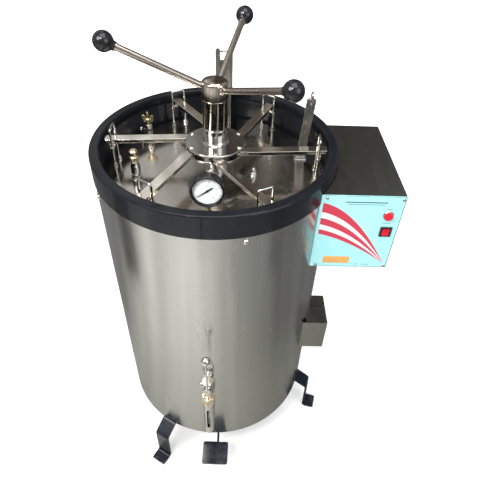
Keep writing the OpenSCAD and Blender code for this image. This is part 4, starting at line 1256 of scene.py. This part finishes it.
def panel_print():
    for (name, material, lift), lower, upper in zip(BANDS, CURVES, CURVES[1:]):
        sections = []
        back = PANEL_Y - lift
        for k in range(73):
            t = 0.985 * k / 72
            (ax, az), (bx, bz) = curve_point(lower, t), curve_point(upper, t)
            front = back - 0.10
            sections.append([(ax, back, az), (bx, back, bz), (bx, front, bz), (ax, front, az)])
        Shape().add(loft(sections)).make(name, material, "cabinet", "panel_paint",
                                         weighted=False)
    face = move(0, PANEL_Y, 0) @ rot_x(90)
    label = rectangle(PANEL_X0 + 22, PANEL_Z0 + 12, PANEL_X0 + 83, PANEL_Z0 + 33, 2.0, 4)
    Shape().add(prism(label, 0, 0.14, 0.05), face).make(
        "panel_blank_label", "label_amber", "cabinet", "panel_paint", weighted=False)
    rules = Shape()
    for x0, x1, z, height in RULES:
        rules.add(prism(rectangle(x0, z, x1, z + height, height * 0.4, 3), 0, 0.12, 0.04), face)
    rules.make("panel_rules", "ink_and_edge_shade_black", "cabinet", "panel_paint", weighted=False)
    # the black lines along the panel's foot, top and right edge are painted shade of the box edge,
    # not print
    edge_shade = Shape()
    for line in EDGE_SHADE_LINES:
        edge_shade.add(prism(rectangle(*line, 0, 1), 0, 0.10, 0.03), face)
    edge_shade.make("panel_edge_shade", "ink_and_edge_shade_black", "cabinet", "panel_paint", weighted=False)


panel_print()

LAMP = move(374, PANEL_Y, RING_TOP - 79) @ rot_x(90)        # z runs forward
SWITCH_X, SWITCH_Z = 378.5, RING_TOP - 125


def lamp():
    ring = Shape().add(lathe([(6.5, 0.05), (11.5, 0.05, 0.3), (11.5, 1.6, 0.7), (10.4, 3.0, 0.4),
                              (9.6, 3.05), (6.5, 3.05)], 0.2), LAMP)
    ring.add(tube(6.5, 8, -16, 0.2, 0.2, 64), LAMP)
    ring.add(hexagon(19, -6, -2.05, 16.1), LAMP)
    ring.make("lamp_ring", "fitting_chrome", "cabinet", "lamp_chrome", "lamp_bezel")
    profile = [(0, -9), (6.4, -9), (6.4, 3.1), (9.5, 3.1), (9.5, 7.0)]
    angles = [radians(90 * k / 8) for k in range(1, 9)]
    profile += [(9.5 * cos(a), 7.0 + 3.4 * sin(a)) for a in angles]

    def ripple(a, r, z):
        return ribbed(a, r, 24, 0.018) if 3 < z < 11.8 and r > 5 else r

    Shape().add(revolve(profile, ripple=ripple), LAMP).make(
        "lamp_cap", "lens_red", "cabinet", "lamp_red", "lamp_lens", weighted=False)


def switch():
    outer_half, inner_half = 13, 8.2
    outer = rectangle(-outer_half, -13.5, outer_half, 13.5, 1.2, 4)
    inner = rectangle(-inner_half, -9.4, inner_half, 9.4, 0.4, 4)
    # outline, its half width, distance in front of the panel, inset
    rings = [(outer, outer_half, out, inset) for out, inset in ((0.05, 0), (1.7, 0), (2.55, 0.9))]
    rings += [(inner, inner_half, out, inset)
              for out, inset in ((2.35, -0.7), (1.2, 0), (-14, 0), (-14.01, -2.0))]
    rings += [(outer, outer_half, out, 2.4) for out in (-14.02, -0.1)]
    sections = []
    for outline, half, out, inset in rings:
        scale = 1 - inset / half
        sections.append([(x * scale, -out, z * scale) for x, z in outline])
    Shape().add(loft(sections, closed=True), move(SWITCH_X, PANEL_Y, SWITCH_Z)).make(
        "switch_frame", "black_moulding", "cabinet", "switch_black", "switch_bezel")
    rocker = move(SWITCH_X, PANEL_Y + 1, SWITCH_Z) @ rot_x(7)
    # side view of the paddle: y, z
    side = [(-6.2, 8.3), (-5.2, 6.2), (-3.9, 4.0), (-3.1, 1.6), (-2.9, 0), (-3.1, -1.6),
            (-3.9, -4.0), (-5.2, -6.2), (-6.2, -8.3), (-1, -8), (6, -3), (6, 3), (-1, 8)]
    side = fillet(side, [0.7, 1, 1, 1, 1, 1, 1, 1, 0.7, 0.8, 0.8, 0.8, 0.8], 3)
    # drawn X, Y, Z become Y, Z, X
    across = Matrix(((0, 0, 1, 0), (1, 0, 0, 0), (0, 1, 0, 0), (0, 0, 0, 1)))
    place = rocker @ move(-7.6, 0, 0) @ across
    paddle = Shape().add(prism(side, 0, 15.2, 0.5), place)
    paddle.add(rod(2, -0.5, 15.7, 0.3, 32), place)
    paddle.make("rocker_paddle", "lens_red", "rocker_switch", "rocker_red", "rocker")
    # a bar on the upper half and a ring on the lower, in a darker red that is painted shade
    # standing for engraved grooves
    marks = Shape().add(block((-0.45, -5.7, 3.6), (0.45, -4.62, 6.8), 0.1),
                        rocker @ move(0, 0.25, 0))
    path = []
    for k in range(40):
        a = 2 * pi * k / 40
        rise = 1.7 * sin(a)
        path.append((1.7 * cos(a), -4.75 + 0.36 * rise, -5.2 + rise))
    marks.add(sweep(path, 0.28, 8, closed=True), rocker)
    marks.make("rocker_marks", "engraving_shade_red", "rocker_switch", "rocker_red", weighted=False)


lamp()
switch()

# ------------------------------------------------------------------ water level unit

# heights here are from the ring top
LEVEL_AXIS = rot_z(LEVEL_TURN) @ ON_RING        # x runs outward from the vessel axis
LEVEL = LEVEL_AXIS @ move(300, 0, 0)            # the upright tube
COCK_Z, FOOT_Z = -530, -761
# radius, height, corner radius
FOOT_PROFILE = [
    (0, -772), (10.5, -772, 0.8), (13, -769.5, 0.8), (13, -765, 0.4), (12.2, -763.5, 0.4),
    (13, -762, 0.4), (13, -750.1, 0.6), (8.1, -750.1, 0.1), (8.1, -751.3, 0.1),
    (4, -751.3, 0.1), (4, FOOT_Z, 0.1), (0, FOOT_Z),
]
# radius, distance from the tube axis, corner radius
SIDE_PLUG_PROFILE = [
    (0, 6), (8, 6, 0.2), (8, 15, 0.3), (7.0, 16, 0.4), (8, 17, 0.3), (8, 18.2, 0.4),
    (7.2, 19, 0.3), (0, 19),
]
KEY_PROFILE = [
    (0, 3), (5, 3, 0.3), (5, 16.2, 0.1), (10, 16.3, 0.4), (10, 21.2, 0.8), (9, 22, 0.6),
    (4, 22, 0.3), (3.2, 21.2, 0.3), (0, 21.2),
]


def level_cock():
    angles = [2 * pi * k / 14 for k in range(14)]
    oring = [(11.6 + 1.5 * cos(a), -542.6 + 1.5 * sin(a)) for a in angles]
    Shape().add(revolve(oring, 72), LEVEL).make(
        "level_oring", "oring_rubber", "cabinet", "switch_black", weighted=False)
    body = Shape().add(tube(4, 10, -579.9, -566, 0.4, 64), LEVEL)
    body.add(hexagon(26, -541, -512), LEVEL @ rot_z(30))
    body.add(lathe([(4, -566, 0), (12.2, -566, 0.8), (12.2, -545.5, 0.8), (11.2, -543.5, 0.4),
                    (11.2, -540.9, 0.1), (4, -540.9, 0)], segs=72), LEVEL)
    outward = LEVEL_AXIS @ move(0, 0, COCK_Z) @ rot_y(90)
    body.add(rod(7, 221, 290, 0.3, 64), outward)
    body.add(lathe([(6.9, JACKET_R + 0.1), (13, JACKET_R + 0.1), (13, JACKET_R + 3.6),
                    (11.6, JACKET_R + 5), (6.9, JACKET_R + 5)], 0.5, 72), outward)
    body.add(lathe([(5.1, 305), (9, 305), (9, 314.6), (8.2, 316), (5.1, 316)], 0.5, 72), outward)
    cock = LEVEL @ move(0, 0, COCK_Z)
    body.add(lathe(SIDE_PLUG_PROFILE, segs=64), cock @ rot_x(90))
    body.make("cock_body", "fitting_chrome", "cabinet", "fitting_chrome", "level_cock")
    key = Shape().add(lathe(KEY_PROFILE, segs=64), cock @ rot_y(90))
    # upright rod with a ball on top
    profile = [(0, 3), (3.4, 3), (3.4, 9.5), (2.6, 11.5), (2.6, 118), (3.6, 120.2), (4.4, 122.2)]
    angles = [radians(155 - 155 * k / 20) for k in range(21)]
    profile += [(11 * sin(a), 132 + 11 * cos(a)) for a in angles]
    key.add(revolve(profile, 72), cock @ move(19.2, 0, 0))
    key.make("cock_key_rod", "fitting_chrome", "level_key", "fitting_chrome", "cock_key",
             weighted=False)


def slotted_tube():
    """Tube with a long round-ended window facing outward."""
    low, top = -750, -612
    slot_low, slot_top, half = -730, -644, 4.5      # end centres and half width of the window
    radii = (14.0, 11.0)
    sides = 96
    heights = sorted({low, low + 0.6, top, *(low + (top - low) * k / 40 for k in range(41)),
                      *(end - half + 2 * half * k / 8
                        for end in (slot_low, slot_top) for k in range(9))})
    heights = [z for i, z in enumerate(heights) if i == 0 or z - heights[i - 1] > 0.05]
    rows = len(heights)

    def half_width(z):
        past = max(slot_low - z, z - slot_top, 0.0)
        return sqrt(half * half - past * past) if past < half else 0.0

    def index(wall, row, k):
        return (wall * rows + row) * (sides + 1) + k

    points, faces = [], []
    for wall, radius in enumerate(radii):
        for row, z in enumerate(heights):
            cut = asin(half_width(z) / radius)
            r = radius - 0.6 if wall == 0 and row == 0 else radius
            for k in range(sides + 1):
                a = cut + (2 * pi - 2 * cut) * k / sides
                points.append((r * cos(a), r * sin(a), z))
    for row in range(rows - 1):
        for k in range(sides):
            faces.append((index(0, row, k), index(0, row, k + 1),
                          index(0, row + 1, k + 1), index(0, row + 1, k)))
            faces.append((index(1, row, k), index(1, row + 1, k),
                          index(1, row + 1, k + 1), index(1, row, k + 1)))
        for k in (0, sides):
            faces.append((index(0, row, k), index(0, row + 1, k),
                          index(1, row + 1, k), index(1, row, k)))
    for row in (0, rows - 1):
        for k in range(sides):
            faces.append((index(0, row, k), index(0, row, k + 1),
                          index(1, row, k + 1), index(1, row, k)))
    mesh = bpy.data.meshes.new("tmp")
    mesh.from_pydata(points, [], faces)
    work = bmesh.new()
    work.from_mesh(mesh)
    bmesh.ops.remove_doubles(work, verts=work.verts, dist=1e-3)
    bmesh.ops.dissolve_degenerate(work, edges=work.edges, dist=1e-3)
    # outside the window both ends of a row meet, and the two walls there cancel out
    twins = {}
    for face in work.faces:
        twins.setdefault(tuple(sorted(v.index for v in face.verts)), []).append(face)
    doubled = [face for same in twins.values() if len(same) > 1 for face in same]
    bmesh.ops.delete(work, geom=doubled, context="FACES")
    work.verts.index_update()
    part = ([tuple(v.co) for v in work.verts],
            [tuple(v.index for v in face.verts) for face in work.faces])
    work.free()
    bpy.data.meshes.remove(mesh)
    return part


def level_tube():
    shield = Shape().add(slotted_tube(), LEVEL)
    shield.add(tube(8.1, 16, -618, -612.4, 0.8, 96), LEVEL)
    shield.make("level_shield", "fitting_chrome", "cabinet", "fitting_chrome", "level_guard",
                weighted=False, sharp=30)
    nut = Shape().add(hexagon(30, -612, -583), LEVEL @ rot_z(-6))
    nut.add(lathe([(4.1, -583.4), (11.8, -583.4), (10.6, -580.2), (4.1, -580.2)], 0.5, 72), LEVEL)
    nut.make("union_nut", "fitting_brass", "cabinet", "fitting_brass")
    Shape().add(tube(5.5, 8, -751, -600, 0.3, 64), LEVEL).make(
        "level_tube", "clear_glass", "cabinet", "clear_glass", "level_glass", weighted=False)


def level_foot():
    foot = Shape().add(lathe(FOOT_PROFILE), LEVEL)
    outward = LEVEL_AXIS @ move(0, 0, FOOT_Z) @ rot_y(90)
    foot.add(rod(7, 244, 290, 0.2, 64), outward)
    foot.add(tube(6.9, 10, JACKET_R + 0.1, JACKET_R + 2.6, 0.5, 64), outward)
    # Inward, up and inward again inside the jacket. The first two points coincide, so the
    # sweep has no first direction and its sections stay shrunk onto the centre line.
    bend = 7
    path = [(250, 0, FOOT_Z)]
    for x, z, start, turn in ((250, -754, -90, -90), (236, -742, 0, 90)):
        for k in range(9):
            a = radians(start + turn * k / 8)
            path.append((x + bend * cos(a), 0, z + bend * sin(a)))
    path.append((221, 0, -735))
    foot.add(sweep(path, 7, 40), LEVEL_AXIS)
    foot.make("level_lower_fitting", "fitting_chrome", "cabinet", "fitting_chrome", "level_foot",
              weighted=False)


level_cock()
level_tube()
level_foot()

# ------------------------------------------------------------------ inside

for node, material in (
        ("inner_chamber", "vessel_steel"), ("basket", "vessel_steel"),
        ("basket_stand", "vessel_steel"), ("bail_handle", "wire_steel"),
        ("heater_element", "heater_steel"), ("heater_leads", "glass_sleeve"),
        ("insulation", "glass_wool"), ("lid_gasket", "silicone_red")):
    paint(node, material)

# ------------------------------------------------------------------ studio, in metres


def place_card(name, data, at, aim, axis):
    """Links an unseen card at a place about the vessel axis, its axis toward aim."""
    thing = bpy.data.objects.new(name, data)
    thing.location = Vector(at) + AXIS
    thing.rotation_mode = "QUATERNION"
    thing.rotation_quaternion = (Vector(aim) - Vector(at)).to_track_quat(axis, "Y")
    thing.visible_camera = False
    SCENE.collection.objects.link(thing)
    return thing


def light(name, size, at, aim, energy, colour):
    lamp_data = bpy.data.lights.new(name, "AREA")
    lamp_data.shape = "RECTANGLE"
    lamp_data.size, lamp_data.size_y = size
    lamp_data.energy = energy
    lamp_data.color = colour
    return place_card(name, lamp_data, at, aim, "-Z")


def flag(name, size, at, aim, colour):
    """A flat card with uneven glow, seen only in reflections."""
    mesh = bpy.data.meshes.new(name)
    x, y = size[0] / 2, size[1] / 2
    mesh.from_pydata([(-x, -y, 0), (x, -y, 0), (x, y, 0), (-x, y, 0)], [], [(0, 1, 2, 3)])
    material = bpy.data.materials.new(name)
    material.use_nodes = True
    m = Nodes(material.node_tree)
    output = m.node("ShaderNodeOutputMaterial")
    glow = m.node("ShaderNodeEmission")
    streaks = m.noise(m.stretch(m.coordinates("Object"), (3.0, 0.5, 1)),
                      scale=2.2, detail=3, rough=0.5)
    bright = tuple(min(1, c * 1.7) for c in colour)
    m.feed(glow.inputs[0], m.ramp(streaks, [(0.35, scaled(colour, 0.55)), (0.7, bright)]))
    m.feed(output.inputs[0], glow.outputs[0])
    mesh.materials.append(material)
    card = place_card(name, mesh, at, aim, "Z")
    card.visible_shadow = False
    card.visible_diffuse = False
    card.visible_transmission = False


def sky(name, left, right, low, high, colour):
    """A flag filling a window of the sky behind the vessel, in degrees seen from the lid."""
    distance, centre = 2.4, Vector((0, 0, 0.95))
    heading, rise = radians((left + right) / 2), radians((low + high) / 2)
    toward = Vector((sin(heading) * cos(rise), cos(heading) * cos(rise), sin(rise)))
    size = (2 * distance * tan(radians(abs(right - left) / 2)) * cos(rise),
            2 * distance * tan(radians(abs(high - low) / 2)))
    flag(name, size, toward * distance + centre, centre, colour)


def world():
    """Uneven grey room in reflections, plain light on matt surfaces, white to the camera."""
    room = bpy.data.worlds.new("studio")
    SCENE.world = room
    room.use_nodes = True
    m = Nodes(room.node_tree)
    generated = m.coordinates("Generated")
    height = m.remap(m.split(generated)[2], -1, 1)
    # from straight down to straight up
    tone = m.ramp(height, [
        (0.0, (0.75, 0.74, 0.72)), (0.46, (0.55, 0.54, 0.52)), (0.54, (0.42, 0.41, 0.39)),
        (0.66, (0.60, 0.585, 0.56)), (0.82, (0.62, 0.62, 0.62)), (1.0, (0.95, 0.96, 1.0))])
    cloud = m.noise(m.stretch(generated, (1.3, 1.3, 0.45)), scale=1.7, detail=2.5, rough=0.5)
    patches = m.ramp(cloud, [(0.38, (0.35, 0.33, 0.31)), (0.62, (1.15, 1.16, 1.2))])

    def background(colour, strength):
        node = m.node("ShaderNodeBackground")
        m.feed(node.inputs[0], colour)
        m.feed(node.inputs[1], strength)
        return node.outputs[0]

    def choose(factor, otherwise, chosen):
        node = m.node("ShaderNodeMixShader")
        for socket, value in zip(node.inputs, (factor, otherwise, chosen)):
            m.feed(socket, value)
        return node.outputs[0]

    mirrored = background(m.mix(1.0, tone, patches, "MULTIPLY"), strength=0.85)
    seen = background((1.0, 1.0, 1.0), strength=1.0)
    matt = background((0.95, 0.96, 1.0), strength=0.55)
    rays = m.node("ShaderNodeLightPath").outputs
    unseen = choose(rays["Is Diffuse Ray"], mirrored, matt)
    output = m.node("ShaderNodeOutputWorld")
    m.feed(output.inputs[0], choose(rays["Is Camera Ray"], unseen, seen))


# Brightness of the mirrored floor round the vessel: degrees from the camera side, toward +X
# when positive, then grey, then blue share
FLOOR_FAR = [
    (-180, 0.32, 1), (-102, 0.36, 0.98), (-78, 0.95, 0.98), (-50, 1.36, 0.98),
    (-10, 1.42, 0.98), (14, 0.80, 0.97), (35, 0.50, 0.97), (65, 0.26, 0.97), (110, 0.30, 1),
    (180, 0.32, 1),
]
FLOOR_CLOSE = [
    (-180, 0.85, 1), (-110, 0.90, 1), (-70, 1.12, 0.99), (-30, 1.72, 0.99), (-5, 1.5, 0.98),
    (15, 1.25, 0.98), (35, 0.90, 0.97), (52, 0.72, 0.97), (180, 0.72, 1),
]


def floor_material():
    """Pale to the camera; reflections see a darker floor that varies round the vessel."""
    m = Shader("floor_pale")
    rays = m.node("ShaderNodeLightPath").outputs
    uneven = m.spots(scale=1.4, detail=4.0, rough=0.5)
    pale = m.mix(m.remap(uneven, 0.3, 0.7), (0.86, 0.86, 0.855), (0.88, 0.88, 0.875))
    polar = m.polar(m.place)
    radius = m.split(polar)[0]
    tone = m.ramp(m.remap(radius, 0.32, 1.05), [
        (0.0, (0.27, 0.27, 0.25)), (0.30, (0.37, 0.368, 0.345)),
        (0.55, (0.50, 0.495, 0.475)), (1.0, (0.56, 0.56, 0.55))])
    # streaks that run outward, stronger with distance
    broad = m.noise(m.stretch(polar, (0.12, 3.2, 1.0)), scale=1.6, detail=4.0, rough=0.62)
    fine = m.noise(m.stretch(polar, (0.25, 11.0, 1.0)), scale=1.9, detail=3.0, rough=0.6)
    streaks = m.math("MULTIPLY", m.remap(broad, 0.38, 0.62, 0.70, 1.14),
                     m.remap(fine, 0.35, 0.65, 0.95, 1.03))
    share = m.remap(radius, 0.36, 1.0, 0.25, 1.0)
    streaks = m.math("ADD", 1.0, m.math("MULTIPLY", share, m.math("SUBTRACT", streaks, 1.0)))
    mirrored = m.mix(1.0, tone, m.combine(streaks, streaks, streaks), "MULTIPLY")
    x, y, _ = m.split(m.place)
    turn = m.remap(m.math("ARCTAN2", x, m.math("MULTIPLY", y, -1.0)), -pi, pi)

    def around(stops):
        # halved to stay within the ramp's range; doubled again below
        return m.ramp(turn, [((degrees + 180) / 360, (grey * 0.5, grey * 0.5, grey * 0.5 * blue))
                             for degrees, grey, blue in stops])

    far, close = around(FLOOR_FAR), around(FLOOR_CLOSE)
    side = m.mix(m.remap(radius, 0.37, 0.70), close, far)
    mirrored = m.mix(1.0, mirrored, side, "MULTIPLY")
    mirrored = m.mix(1.0, mirrored, (2.0, 2.0, 2.0), "MULTIPLY")
    m.set("Base Color", m.mix(rays["Is Glossy Ray"], pale, mirrored))
    m.set("Emission Color", (1, 1, 0.995))
    glow = m.remap(radius, 0.8, 3.6, 0.30, 0.80)
    m.set("Emission Strength", m.math("MULTIPLY", rays["Is Camera Ray"], glow))
    m.set("Roughness", 0.75)
    m.set("Specular IOR Level", 0.2)


def studio_floor():
    mesh = bpy.data.meshes.new("studio_floor")
    cells, half = 24, 9.0
    row = cells + 1
    steps = [-half + 2 * half * k / cells for k in range(row)]
    points = [(x, y, -0.0006) for y in steps for x in steps]
    faces = [(j * row + i, j * row + i + 1, (j + 1) * row + i + 1, (j + 1) * row + i)
             for j in range(cells) for i in range(cells)]
    mesh.from_pydata(points, [], faces)
    ground = bpy.data.objects.new("studio_floor", mesh)
    SCENE.collection.objects.link(ground)
    floor_material()
    mesh.materials.append(MAT["floor_pale"])


def lights():
    light("key", size=(1.6, 1.6), at=(-1.9, -1.6, 3.1), aim=(0, 0, 0.6), energy=85,
          colour=(1.0, 0.985, 0.96))
    light("fill", size=(2.2, 2.2), at=(2.4, -2.2, 2.2), aim=(0, 0, 0.6), energy=36,
          colour=(0.95, 0.975, 1.0))
    light("top", size=(2.4, 2.4), at=(0.2, -0.6, 3.9), aim=(0, 0, 0.0), energy=55,
          colour=(1, 1, 1))
    back = light("back", size=(2.6, 1.2), at=(0.9, 3.2, 2.3), aim=(0.3, 1.2, 0.0), energy=60,
                 colour=(0.97, 0.98, 1.0))
    back.visible_glossy = False
    light("spark", size=(0.22, 0.22), at=(-0.55, -1.3, 2.6), aim=(0, 0, 1.0), energy=16,
          colour=(1, 0.98, 0.94))


# cards for the steel to mirror: name, size, place, aim, colour
FLAGS = [
    ("flag_left", (0.30, 0.62), (-0.93, -0.14, 0.33), (0, 0, 0.40), (0.085, 0.08, 0.075)),
    ("flag_left_far", (0.30, 1.2), (-1.35, 0.75, 0.6), (0, 0, 0.5), (0.10, 0.09, 0.08)),
    ("flag_right", (0.55, 0.8), (1.15, 0.35, 0.42), (0, 0, 0.42), (0.06, 0.065, 0.08)),
    ("flag_right_front", (0.20, 0.9), (0.86, -0.62, 0.46), (0, 0, 0.46), (0.13, 0.12, 0.11)),
    ("flag_front_a", (0.035, 0.30), (-0.16, -1.02, 0.35), (-0.02, 0, 0.5), (0.10, 0.10, 0.11)),
    ("flag_front_b", (0.028, 0.34), (0.30, -1.0, 0.10), (0.02, 0, 0.5), (0.12, 0.12, 0.13)),
]
# name, left and right heading from +Y toward +X, low and high rise, colour
SKIES = [
    ("sky_bright", -36, -7.5, 27.0, 66, (0.70, 0.675, 0.63)),
    ("sky_low_left", -36, -7.5, 8, 27.0, (0.13, 0.115, 0.098)),
    ("sky_mid", -7.5, -3.5, 8, 66, (0.17, 0.155, 0.135)),
    ("sky_dark", -3.5, 6.5, 8, 66, (0.072, 0.062, 0.053)),
    ("sky_right", 6.5, 9, 8, 66, (0.21, 0.195, 0.175)),
    ("sky_right_far", 9, 36, 8, 66, (0.075, 0.069, 0.062)),
]

world()
studio_floor()
lights()
for row in FLAGS:
    flag(*row)
for row in SKIES:
    sky(*row)

# ------------------------------------------------------------------ camera

CAMERA_AT = (0.05044, -0.93297, RING_TOP * MM + 0.53969)
PITCH_DOWN, YAW, ROLL = radians(42.427), radians(1.849), radians(-2.544)


def camera():
    data = bpy.data.cameras.new("view")
    view = bpy.data.objects.new("view", data)
    SCENE.collection.objects.link(view)
    forward = Vector((sin(YAW) * cos(PITCH_DOWN), cos(YAW) * cos(PITCH_DOWN), -sin(PITCH_DOWN)))
    level_right = Vector((cos(YAW), -sin(YAW), 0))
    level_down = forward.cross(level_right)
    right = level_right * cos(ROLL) + level_down * sin(ROLL)
    down = -level_right * sin(ROLL) + level_down * cos(ROLL)
    pose = Matrix((right, -down, -forward)).transposed().to_4x4()
    pose.translation = Vector(CAMERA_AT) + AXIS
    view.matrix_world = pose
    data.sensor_fit = "HORIZONTAL"
    data.sensor_width = 36.0
    data.lens = 34.5385626
    data.shift_x = -0.0066529774
    data.shift_y = 0.0035523614
    data.clip_start = 0.02
    data.clip_end = 60
    SCENE.camera = view


camera()
SCENE.view_settings.view_transform = "Standard"
SCENE.view_settings.look = "None"
SCENE.view_settings.exposure = 0.0
